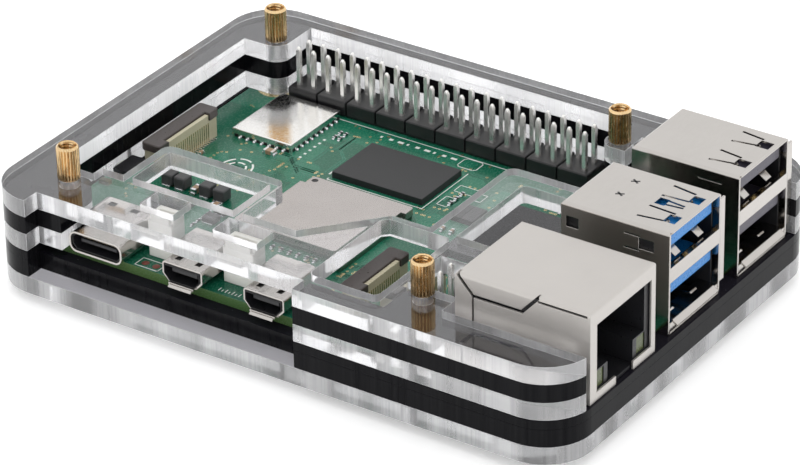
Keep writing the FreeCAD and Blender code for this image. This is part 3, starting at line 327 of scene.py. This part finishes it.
class Draft:
    """Geometry of one piece, drawn in board millimetres."""

    def __init__(self):
        self.shape = bmesh.new()

    def skin(self, rings, ends=True):
        """Faces between rings of points, each ring one closed loop."""
        rows = [[self.shape.verts.new(at(*point)) for point in ring] for ring in rings]
        for lower, upper in zip(rows, rows[1:]):
            for index, vertex in enumerate(lower):
                following = (index + 1) % len(lower)
                self.shape.faces.new((vertex, lower[following], upper[following], upper[index]))
        if ends:
            self.shape.faces.new(rows[0][::-1])
            self.shape.faces.new(rows[-1])

    def block(self, low, high, narrow=0.0):
        """A box whose top face may be narrower than its foot."""
        rings = []
        for z, inset in ((low[2], 0.0), (high[2], narrow)):
            x0, y0, x1, y1 = low[0] + inset, low[1] + inset, high[0] - inset, high[1] - inset
            rings.append([(x0, y0, z), (x1, y0, z), (x1, y1, z), (x0, y1, z)])
        self.skin(rings)

    def ribbon(self, path, width, low, high):
        """A flat strip between two heights along a level path, with mitred corners."""
        points = [Vector(point) for point in path]
        rings = []
        for index, point in enumerate(points):
            before = (point - points[index - 1]).normalized() if index else None
            after = (points[index + 1] - point).normalized() if index + 1 < len(points) else None
            heading = ((before or after) + (after or before)).normalized()
            reach = width / 2 / max(SHARPEST_MITRE, heading.dot(before or after))
            sideways = Vector((-heading.y, heading.x)) * reach
            left, right = point + sideways, point - sideways
            rings.append([(*left, low), (*right, low), (*right, high), (*left, high)])
        self.skin(rings)

    def loop(self, path, width, low, high):
        """A closed flat strip along a loop."""
        for start, end in zip(path, path[1:] + path[:1]):
            first, last = Vector(start), Vector(end)
            step = (last - first).normalized() * width / 2
            self.ribbon([first - step, last + step], width, low, high)

    def plate(self, path, across, half, thick):
        """A bent plate: a path of points, swept to both sides along one direction."""
        points = [Vector(point) for point in path]
        sideways = Vector(across).normalized()
        rings = []
        for index, point in enumerate(points):
            before = point - points[index - 1] if index else points[1] - point
            after = points[index + 1] - point if index + 1 < len(points) else before
            lift = sideways.cross((before.normalized() + after.normalized())).normalized()
            lift *= thick / 2
            wide = sideways * (half[index] if isinstance(half, (list, tuple)) else half)
            rings.append([point - wide - lift, point + wide - lift, point + wide + lift,
                          point - wide + lift])
        self.skin([[tuple(corner) for corner in ring] for ring in rings])

    def turned(self, x, y, profile, steps, radius_at=None, ends=False):
        """Rings round an upright axis; radius_at may change a radius with the angle."""
        rings = []
        for radius, z in profile:
            ring = []
            for step in range(steps):
                angle = TURN * step / steps
                reach = radius_at(radius, z, angle) if radius_at else radius
                ring.append((x + reach * math.cos(angle), y + reach * math.sin(angle), z))
            rings.append(ring)
        self.skin(rings, ends)

    def piece(self, name, slot, *replaced, look=None, bevel=0.0, body=ROOT, crease=32):
        """Turn the drawing into a mesh and put it in the scene."""
        bmesh.ops.remove_doubles(self.shape, verts=self.shape.verts, dist=DRAFT_WELD)
        bmesh.ops.recalc_face_normals(self.shape, faces=self.shape.faces)
        mesh = bpy.data.meshes.new(name)
        self.shape.to_mesh(mesh)
        self.shape.free()
        place(name, mesh, slot, replaced, look, bevel, body, crease)


def place(name, mesh, slot, replaced=(), look=None, bevel=0.0, body=ROOT, crease=32):
    """Put a finished mesh in the scene as a piece that rides on a body."""
    item = bpy.data.objects.new(name, mesh)
    bpy.context.scene.collection.objects.link(item)
    mesh.materials.append(look or MATERIALS[slot])
    mesh.polygons.foreach_set("use_smooth", [True] * len(mesh.polygons))
    mesh.set_sharp_from_angle(angle=math.radians(crease))
    if bevel:
        rolled = item.modifiers.new("rolled_edges", "BEVEL")
        rolled.width = bevel * MM
        rolled.segments = 2
        rolled.limit_method = "ANGLE"
        rolled.angle_limit = math.radians(crease)
    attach(item, body)
    if replaced:
        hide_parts(*replaced)


def softened(node, slot, bevel, body=ROOT):
    """A CAD piece again, with its sharp edges rolled over."""
    shape = bmesh.new()
    shape.from_mesh(NODES[node].data)
    bmesh.ops.remove_doubles(shape, verts=shape.verts, dist=CAD_WELD)
    bmesh.ops.dissolve_limit(shape, angle_limit=math.radians(1), verts=shape.verts,
                             edges=shape.edges)
    mesh = bpy.data.meshes.new(node + "_soft")
    shape.to_mesh(mesh)
    shape.free()
    place(node + "_soft", mesh, slot, (node,), bevel=bevel, body=body)


# ---------------------------------------------------------------- posts and screws

KNURLS = 22
KNURL_DEPTH = 0.26
THREAD_PITCH = 0.45
THREAD_HEIGHT = 0.13
BORE_RADIUS = 0.98
SCREW_RADIUS = 1.18


def knurled(radius, z, angle):
    """A row of rounded upright ridges with narrow dark grooves between them."""
    return radius - KNURL_DEPTH * abs(math.cos(angle * KNURLS / 2)) ** 4


def threaded(radius, z, angle):
    """A ridge that climbs round the axis by one pitch each turn."""
    phase = (z / THREAD_PITCH - angle / TURN) % 1.0
    return radius + THREAD_HEIGHT * (1.0 - abs(2.0 * phase - 1.0))


def levels(low, high, step):
    """Even heights from low to high, about one step apart."""
    count = max(1, round((high - low) / step))
    return [low + (high - low) * index / count for index in range(count + 1)]


def posts():
    """Knurled brass posts with a chamfered top and a threaded bore."""
    low, high = span("standoffs")
    top, foot = high.z, low.z
    metal = Draft()
    for near, far in islands("standoffs"):
        x, y = (near.x + far.x) / 2, (near.y + far.y) / 2
        radius = (far.x - near.x) / 2
        metal.turned(x, y, [(radius - 0.3, foot), (radius, foot + 0.2), (radius, foot + 1.2),
                            (radius, top - 0.35)], KNURLS * 6, knurled)
        metal.turned(x, y, [(radius - 0.02, top - 0.35), (radius - 0.06, top - 0.2),
                            (radius - 0.3, top), (1.3, top), (1.2, top - 0.12),
                            (1.12, top - 0.3)], 64)
        bore = [(BORE_RADIUS, z) for z in levels(foot + 0.6, top - 0.12, THREAD_PITCH / 4)]
        metal.turned(x, y, bore, 28, threaded)
        metal.turned(x, y, [(1.2, foot + 0.6), (1.2, foot), (radius - 0.3, foot)], 48)
    metal.piece("knurled_posts", "brass", "standoffs", crease=40)


def screw_threads():
    """Helical ridges on the long case screws, seen through the clear sheets."""
    low, high = span("case_screws")
    steel = Draft()
    for near, far in islands("case_screws"):
        x, y = (near.x + far.x) / 2, (near.y + far.y) / 2
        rows = [(SCREW_RADIUS, z) for z in levels(low.z + 2.0, high.z - 0.1, THREAD_PITCH / 4)]
        steel.turned(x, y, rows, 20, threaded)
    steel.piece("screw_threads", "screw_steel", crease=60)


# ---------------------------------------------------------------- headers

PIN_WIDTH = 0.64
PIN_TIP = 0.55


def pins(node, block, columns, rows):
    """Square pins with rolled edges and tapered tips, in a block with rolled edges."""
    low, high = span(node)
    pitch = (high.x - low.x - PIN_WIDTH) / (columns - 1)
    shoulder = high.z - PIN_TIP
    metal = Draft()
    for column in range(columns):
        for row in range(rows):
            x, y = low.x + pitch * column, low.y + pitch * row
            rings = []
            for z, inset in ((0.2, 0.0), (shoulder, 0.0), (high.z - 0.05, 0.17), (high.z, 0.22)):
                near, far = inset, PIN_WIDTH - inset
                rings.append([(x + near, y + near, z), (x + far, y + near, z),
                              (x + far, y + far, z), (x + near, y + far, z)])
            metal.skin(rings)
    metal.piece(node + "_bright", "pin_metal", node, bevel=0.07, crease=20)
    softened(block, "header_black", 0.07)


# ---------------------------------------------------------------- small surface parts

FENCE_PITCH = 1.15
FENCE_MARGIN = 0.7
SOLDER_REACH = 0.22
LID_DIMPLE = (25.65, 30.15)


def shield_fence():
    """Black blocks along the can's foot, painted shade seen through its openings, with a solder bead
    outside each wall tab.
    """
    low, high = span("wireless_shield")
    opening_shade, beads = Draft(), Draft()
    for axis, near in ((0, True), (0, False), (1, True), (1, False)):
        start, end = low[axis] + FENCE_MARGIN, high[axis] - FENCE_MARGIN
        count = int((end - start) / FENCE_PITCH)
        wall = low[1 - axis] - 0.01 if near else high[1 - axis] + 0.01
        out = -1 if near else 1
        for index in range(count + 1):
            along = start + (end - start) * index / count
            corners = []
            for reach, depth in ((-0.3, -0.04), (0.3, 0.02)):
                point = [0.0, 0.0]
                point[axis], point[1 - axis] = along + reach, wall + out * depth
                corners.append(point)
            # Each black block is painted shade for the dark inside seen through an opening.
            opening_shade.block((min(c[0] for c in corners), min(c[1] for c in corners), 0.04),
                       (max(c[0] for c in corners), max(c[1] for c in corners), 0.5))
            centre = [0.0, 0.0]
            centre[axis], centre[1 - axis] = along + (end - start) / count / 2, wall + out * 0.16
            if index < count:
                beads.turned(*centre, [(0.26, 0.0), (0.24, 0.14), (0.14, 0.26), (0.05, 0.3)], 10,
                             ends=True)
    opening_shade.piece("shield_opening_shade", "header_black")
    beads.piece("shield_solder", "solder")


def lid_mark():
    """Dark floor of the orientation dimple on the processor lid."""
    top = span("processor_lid")[1].z
    dark = Draft()
    dark.turned(*LID_DIMPLE, [(0.86, top - 0.5), (0.86, top - 0.12), (0.8, top - 0.06),
                              (0.3, top - 0.09)], 28, ends=True)
    dark.piece("lid_mark", "chip_black")


def chip_parts(node, body_slot):
    """Each block becomes a ceramic body between two tinned end caps with solder."""
    bodies, ends = Draft(), Draft()
    for low, high in islands(node):
        long_axis = 0 if high.x - low.x > high.y - low.y else 1
        length = high[long_axis] - low[long_axis]
        cap = max(0.16, length * 0.24)
        inner_low, inner_high = low.copy(), high.copy()
        inner_low[long_axis] += cap * 0.6
        inner_high[long_axis] -= cap * 0.6
        inner_low[1 - long_axis] += 0.02
        inner_high[1 - long_axis] -= 0.02
        inner_high.z -= 0.02
        inner_low.z = 0.05
        bodies.block(inner_low, inner_high)
        for side in (0, 1):
            first, last = low.copy(), high.copy()
            if side:
                first[long_axis] = high[long_axis] - cap
            else:
                last[long_axis] = low[long_axis] + cap
            ends.block(first, last)
            toe, heel = first.copy(), last.copy()
            if side:
                toe[long_axis] = last[long_axis] - 0.05
                heel[long_axis] = last[long_axis] + SOLDER_REACH
            else:
                toe[long_axis] = first[long_axis] - SOLDER_REACH
                heel[long_axis] = first[long_axis] + 0.05
            heel.z = max(0.14, (high.z - low.z) * 0.4)
            ends.block(toe, heel, 0.07)
    bodies.piece(node + "_bodies", body_slot, node, bevel=0.04)
    ends.piece(node + "_ends", "solder", bevel=0.04)


def coils():
    """Dark ferrite coils with rounded corners and bright feet."""
    dark, feet = Draft(), Draft()
    for low, high in islands("power_coils"):
        dark.block((low.x + 0.04, low.y + 0.1, 0.25), (high.x - 0.04, high.y - 0.1, high.z))
        for y0, y1 in ((low.y - 0.12, low.y + 0.45), (high.y - 0.45, high.y + 0.12)):
            feet.block((low.x + 0.3, y0, 0.0), (high.x - 0.3, y1, 0.42))
    dark.piece("ferrite_coils", "coil_grey", "power_coils", bevel=0.22)
    feet.piece("coil_feet", "solder", bevel=0.06)


# ---------------------------------------------------------------- prints, traces and vias

PRINT = (0.0, 0.03)                    # foot and top of the ink
PLAIN_MARK = (12.4, 29.3)
FRAMES = ((42.0, 36.0, 43.6, 38.6), (42.0, 40.4, 45.0, 42.2), (46.4, 37.2, 48.4, 39.2))
TEST_PADS = ((17.7, 1.35), (19.5, 1.35))
TRACK_AREA = (0.8, 0.8, 84.2, 55.2)    # the board less a bare margin
TRACK_PITCH = 0.42
TRACK_WIDTH = 0.17
TRACK_TOP = 0.018
BUNDLES = 150
LOOSE_VIAS = 260
VIA = [(0.22, 0.0), (0.22, 0.026), (0.11, 0.03), (0.1, 0.004)]
VIA_STEPS = 10


def board_print():
    """Pale outlines on the solder mask: frames, ticks, dots and a plain mark."""
    ink = Draft()
    low, high = span("memory_chip")
    gap, end = 0.75, 0.45
    ink.ribbon([(low.x - 0.35, low.y - 0.3), (low.x - 0.35, low.y - gap),
                (high.x + end, low.y - gap), (high.x + end, high.y + 1.0)], 0.16, *PRINT)
    ink.ribbon([(low.x - 0.9, low.y + 0.6), (low.x - 0.9, low.y + 1.6)], 0.3, *PRINT)
    mark_x, mark_y = PLAIN_MARK
    for corner in range(6):
        first, last = (TURN * (corner + turn) / 6 for turn in (0.12, 0.88))
        arc = [first + (last - first) * step / 4 for step in range(5)]
        for radius in (2.4, 1.5):
            ink.ribbon([(mark_x + radius * math.cos(angle),
                         mark_y + radius * 1.25 * math.sin(angle)) for angle in arc], 0.3, *PRINT)
    for x0, y0, x1, y1 in FRAMES:
        ink.loop([(x0, y0), (x1, y0), (x1, y1), (x0, y1)], 0.12, *PRINT)
    label = [(38.7, 46.6), (41.0, 46.6), (41.4, 47.0), (41.4, 48.8), (41.0, 49.2), (38.7, 49.2),
             (38.3, 48.8), (38.3, 47.0)]
    ink.loop(label, 0.14, *PRINT)
    for column in range(9):
        width = 0.35 + 0.3 * ((column * 7) % 3)
        ink.ribbon([(24.5 + 1.5 * column, 48.1), (24.5 + 1.5 * column + width, 48.1)], 0.5, *PRINT)
    for row in range(6):
        ink.ribbon([(18.1, 37.0 + 1.2 * row), (18.5, 37.0 + 1.2 * row)], 0.4, *PRINT)
    for index in range(7):
        ink.ribbon([(30.3 + 0.55 * index, 0.7), (30.3 + 0.55 * index, 1.5 - 0.3 * (index % 2))],
                   0.14, *PRINT)
    ink.loop([(16.6, 0.35), (20.4, 0.35), (20.4, 2.4), (16.6, 2.4)], 0.13, *PRINT)
    ink.ribbon([(7.6, 49.35), (57.4, 49.35)], 0.14, *PRINT)
    ink.piece("board_print", "socket_white", look=PRINT_LOOK)


def test_pads():
    """Two rust-red pads on the front edge."""
    pads = Draft()
    for x, y in TEST_PADS:
        pads.turned(x, y, [(0.55, 0.0), (0.55, 0.035), (0.5, 0.05)], 24, ends=True)
    pads.piece("test_pads", "ceramic_tan", look=RUST_LOOK)


def keep_out():
    """Boxes on the board that parts cover, in board millimetres."""
    covered = ("processor_base", "memory_chip", "io_chip", "wireless_shield", "header_body",
               "usb_fast_shell", "usb_slow_shell", "network_jack_shell", "express_socket_body",
               "power_switch_housing", "battery_socket", "serial_socket", "power_port_shell",
               "video_port_one_shell", "video_port_two_shell", "network_chip", "power_chip")
    return [span(node) for node in covered]


def board_traces():
    """Bundles of fine copper tracks that turn at 45 degrees, with plated vias at their ends."""
    rng = random.Random(4)
    covered = keep_out()

    def free(x, y, margin=0.25):
        x0, y0, x1, y1 = TRACK_AREA
        inside = x0 < x < x1 and y0 < y < y1
        return inside and not any(low.x - margin < x < high.x + margin
                                  and low.y - margin < y < high.y + margin
                                  for low, high in covered)

    tracks, vias = Draft(), Draft()
    for _ in range(BUNDLES):
        x, y = rng.uniform(4, 70), rng.uniform(2, 50)
        heading = rng.choice((0, 2, 4, 6))
        lanes = rng.randint(2, 6)
        legs = [(heading, rng.uniform(1.5, 5)),
                ((heading + rng.choice((-1, 1))) % 8, rng.uniform(0.8, 3)),
                (heading, rng.uniform(1.5, 6))]
        across = Vector((-math.sin(heading * TURN / 8), math.cos(heading * TURN / 8)))
        for lane in range(lanes):
            point = Vector((x, y)) + across * TRACK_PITCH * lane
            path = [point.copy()]
            for direction, length in legs:
                step = Vector((math.cos(direction * TURN / 8), math.sin(direction * TURN / 8)))
                point = point + step * length
                path.append(point.copy())
            samples = [path[i].lerp(path[i + 1], t / 8) for i in range(3) for t in range(9)]
            if not all(free(*sample) for sample in samples):
                continue
            tracks.ribbon([tuple(point) for point in path], TRACK_WIDTH, 0.0, TRACK_TOP)
            for end in (path[0], path[-1]):
                if rng.random() < 0.6:
                    vias.turned(end.x, end.y, VIA, VIA_STEPS)
    for _ in range(LOOSE_VIAS):
        x, y = rng.uniform(2, 70), rng.uniform(2, 50)
        if free(x, y, 0.4):
            vias.turned(x, y, VIA, VIA_STEPS)
    tracks.piece("board_tracks", "board_green", look=TRACE_LOOK)
    vias.piece("board_vias", "solder", look=PLATED_LOOK)


def hole_rings():
    """Plated rings round the four fastening holes."""
    rings = Draft()
    for near, far in islands("case_screws"):
        x, y = (near.x + far.x) / 2, (near.y + far.y) / 2
        rings.turned(x, y, [(2.95, 0.0), (2.95, 0.03), (1.45, 0.03), (1.45, 0.0)], 48)
    rings.piece("hole_rings", "contact_gold", look=PLATED_LOOK)


# ---------------------------------------------------------------- flat-cable sockets

RIB_PITCH = 0.5
RIB_MARGIN = 1.95


def flex_details():
    """Contact lines on the three sockets, with comb ribs above them on the camera sockets."""
    ribs, leads = Draft(), Draft()
    for name in ("express_socket", "camera_socket_one", "camera_socket_two"):
        low, high = span(name + "_body")
        inner_low, inner_high = low.y + RIB_MARGIN, high.y - RIB_MARGIN
        count = int((inner_high - inner_low) / RIB_PITCH)
        for index in range(count + 1):
            y = inner_low + RIB_PITCH * index
            if name != "express_socket":
                ribs.block((high.x - 0.62, y, high.z - 0.5),
                           (high.x + 0.04, y + 0.22, high.z + 0.06))
            leads.block((high.x - 0.05, y + 0.26, 0.05), (high.x + 0.03, y + 0.44, high.z - 1.2))
    ribs.piece("flex_ribs", "socket_cream", bevel=0.03)
    leads.piece("flex_contact_lines", "contact_gold")


# ---------------------------------------------------------------- data ports

PORT_FRONT = 87.3                   # the open ends of both stacks
PORT_WIDTH = 13.1
TONGUE_LEVELS = (5.5, 12.6)         # undersides of the lower and upper tongue
TONGUE_THICK = 1.9
ALONG_Y = (0, 1, 0)
PORT_CONTACTS = 4
STAMPS = ((76.2, 28.3), (76.2, 32.3))


def data_port(label, tongue_slot):
    """Dark core block, thin black side sheets painted as the shade inside the shell, tongues with
    contacts, grip springs and a top lip.
    """
    low, high = span(label + "_shell")
    rear, front, top = low.x, PORT_FRONT, high.z
    y0, y1 = low.y, low.y + PORT_WIDTH
    block = Draft()
    block.block((rear + 0.5, y0 + 0.5, 0.5), (rear + 4.4, y1 - 0.5, top - 0.5))
    # Thin black sheets along the inner side walls: painted shade for the shaded inside of the metal
    # shell.
    for y in (y0 + 0.36, y1 - 0.46):
        block.block((rear + 4.3, y, 0.5), (front - 1.1, y + 0.1, top - 0.5))
    block.piece(label + "_block", "core_black", label + "_core", bevel=0.1)
    tongues, contacts, springs, lips = Draft(), Draft(), Draft(), Draft()
    for z in TONGUE_LEVELS:
        tongues.block((rear + 4.2, y0 + 1.0, z), (front - 0.75, y1 - 1.0, z + TONGUE_THICK))
        for index in range(PORT_CONTACTS):
            y = y0 + 2.5 + 2.35 * index
            contacts.plate([(rear + 5, y + 0.5, z - 0.12), (front - 3.6, y + 0.5, z - 0.1),
                            (front - 2.6, y + 0.5, z - 0.75), (front - 1.7, y + 0.5, z - 0.15)],
                           ALONG_Y, 0.45, 0.16)
        floor_z = z - 4.6 if z == TONGUE_LEVELS[0] else z - 2.2
        for index in range(2):
            y = y0 + 3.6 + 5.9 * index
            springs.plate([(front - 6.5, y, floor_z - 0.3), (front - 3.2, y, floor_z + 0.75),
                           (front - 2.0, y, floor_z + 0.9), (front - 0.9, y, floor_z + 0.1)],
                          ALONG_Y, [1.0, 0.8, 0.8, 0.7], 0.18)
    for y in (y0 + 3.65, y0 + 9.65):
        springs.plate([(front - 6.0, y, top - 0.16), (front - 3.2, y, top - 0.5),
                       (front - 2.1, y, top - 1.35), (front - 1.2, y, top - 0.75)],
                      ALONG_Y, [1.1, 0.85, 0.7, 0.55], 0.2)
    middle = (y0 + y1) / 2
    lips.plate([(front - 0.6, middle, top - 0.15), (front + 0.12, middle, top - 0.08)],
               ALONG_Y, (y1 - y0) / 2 - 0.5, 0.22)
    tongues.piece(label + "_tongues", tongue_slot, bevel=0.25)
    contacts.piece(label + "_contact_springs", "contact_gold", bevel=0.03)
    springs.piece(label + "_grip_springs", "shell_metal", bevel=0.04)
    lips.piece(label + "_lips", "shell_metal", bevel=0.05)


def stamped_marks():
    """Two small plain stamps on the fast stack's top."""
    marks = Draft()
    top = span("usb_fast_shell")[1].z
    for x, y in STAMPS:
        for turn in (0.5, -0.6):
            step = Vector((math.cos(turn), math.sin(turn))) * 0.62
            marks.ribbon([(x - step.x, y - step.y), (x + step.x, y + step.y)], 0.3,
                         top - 0.02, top + 0.012)
    marks.piece("stamped_marks", "core_black")


def port_shade_linings():
    """Dark sleeves in the small ports, painted shade for the shaded inside of each metal shell, and
    a bright flared lip under each video port.
    """
    dark, lips = Draft(), Draft()
    for label in ("power_port", "video_port_one", "video_port_two"):
        low, high = span(label + "_shell")
        middle, half = (low.x + high.x) / 2, (high.x - low.x) / 2
        if label == "power_port":
            wall, cut = 0.36, 0.62
            foot, roof = low.z + wall, high.z - wall
            outline = [(middle + side * (half - wall - inset), z) for side, inset, z in
                       ((-1, 0.0, 1.1), (-1, cut, foot), (1, cut, foot), (1, 0.0, 1.1),
                        (1, 0.0, 2.2), (1, cut, roof), (-1, cut, roof), (-1, 0.0, 2.2))]
        else:
            wall, cut = 0.34, 1.2
            foot, roof = low.z + wall, high.z - wall
            outline = [(low.x + wall, roof), (low.x + wall, 1.5), (low.x + cut, foot),
                       (high.x - cut, foot), (high.x - wall, 1.5), (high.x - wall, roof)]
            lips.plate([(middle, low.y + 0.6, 0.2), (middle, low.y - 0.1, 0.16),
                        (middle, low.y - 0.38, -0.12)], (1, 0, 0), 1.9, 0.2)
        mid_x = sum(x for x, z in outline) / len(outline)
        mid_z = sum(z for x, z in outline) / len(outline)
        inner = [(mid_x + (x - mid_x) * 0.965, mid_z + (z - mid_z) * 0.9) for x, z in outline]
        start, end = low.y + 0.3, low.y + 5.9
        # The black sleeve is painted shade for the shaded inside of the metal shell.
        dark.skin([[(x, y, z) for x, z in ring] for y, ring in
                   ((start, inner), (start, outline), (end, outline), (end, inner), (start, inner))],
                  ends=False)
    dark.piece("port_shade_linings", "core_black", bevel=0.02)
    lips.piece("port_lips", "shell_metal", bevel=0.06)


# Port, number of strips, pitch, strip width and height of the tongue's top face.
STRIPS = (("power_port", 12, 0.46, 0.24, 1.95), ("video_port_one", 9, 0.4, 0.2, 2.15),
          ("video_port_two", 9, 0.4, 0.2, 2.15))


def port_contacts():
    """Gold strips on the power and video tongues."""
    strips = Draft()
    for label, count, pitch, width, blade_top in STRIPS:
        low, high = span(label + "_tongue")
        middle = (low.x + high.x) / 2
        for index in range(count):
            x = middle + (index - (count - 1) / 2) * pitch
            strips.block((x - width / 2, low.y + 0.35, blade_top - 0.02),
                         (x + width / 2, low.y + 3.2, blade_top + 0.03))
    strips.piece("port_contact_strips", "contact_gold")


posts()
screw_threads()
pins("header_pins", "header_body", 20, 2)
pins("power_header_pins", "power_header_body", 2, 2)
chip_parts("capacitors", "ceramic_tan")
chip_parts("resistors", "resistor_black")
coils()
shield_fence()
lid_mark()
board_print()
test_pads()
board_traces()
hole_rings()
flex_details()
data_port("usb_fast", "core_blue")
data_port("usb_slow", "core_grey")
stamped_marks()
port_contacts()
port_shade_linings()
softened("battery_socket", "socket_white", 0.12)
softened("serial_socket", "socket_white", 0.12)

# ---------------------------------------------------------------- stage, light and camera

FLOOR_REACH = 3.0                               # metres from the middle to each side
FLOOR_GLOW = 0.34                               # weakens the shadow
SKY_STRENGTH = 1.15
SENSOR_WIDTH = 36.0                             # millimetres
LENS = 197.3                                    # millimetres
SHIFT = 0.0825                                  # share of the frame's width
CAMERA_TURNS = (35.388, 29.627, 1.567)          # azimuth, elevation and roll, in degrees
CAMERA_PLACE = (336.59, -403.344, 296.617)      # board millimetres

floor_mesh = bpy.data.meshes.new("floor")
floor_corners = [(x * FLOOR_REACH, y * FLOOR_REACH, 0.0) for x, y in
                 ((-1, -1), (1, -1), (1, 1), (-1, 1))]
floor_mesh.from_pydata(floor_corners, [], [(0, 1, 2, 3)])
floor = bpy.data.objects.new("floor", floor_mesh)
floor.location.z = CAD_BOX[0][2]
bpy.context.scene.collection.objects.link(floor)
floor_mesh.materials.append(grained("floor_look", (0.9, 0.9, 0.9), 0.7, grain=400,
                                    variety=0.004, relief=0.02, Emission_Color=(1.0, 1.0, 1.0),
                                    Emission_Strength=FLOOR_GLOW))

world = bpy.data.worlds.new("studio")
world.use_nodes = True
background = world.node_tree.nodes["Background"]
background.inputs["Color"].default_value = (1.0, 1.0, 1.0, 1.0)
background.inputs["Strength"].default_value = SKY_STRENGTH
bpy.context.scene.world = world
bpy.context.scene.view_settings.view_transform = "Standard"

camera_data = bpy.data.cameras.new("camera")
camera_data.sensor_width = SENSOR_WIDTH
camera_data.lens = LENS
camera_data.shift_x = SHIFT
camera_data.clip_start = 0.01
camera = bpy.data.objects.new("camera", camera_data)
azimuth, elevation, roll = (math.radians(angle) for angle in CAMERA_TURNS)
away = Vector((math.sin(azimuth) * math.cos(elevation), -math.cos(azimuth) * math.cos(elevation),
               math.sin(elevation)))
side = Vector((math.cos(azimuth), math.sin(azimuth), 0.0))
turned = Matrix.Rotation(-roll, 3, away)
across = turned @ side
upward = away.cross(across)
view = Matrix((across, upward, away)).transposed().to_4x4()
view.translation = at(*CAMERA_PLACE)
camera.matrix_world = view
bpy.context.scene.collection.objects.link(camera)
bpy.context.scene.camera = camera
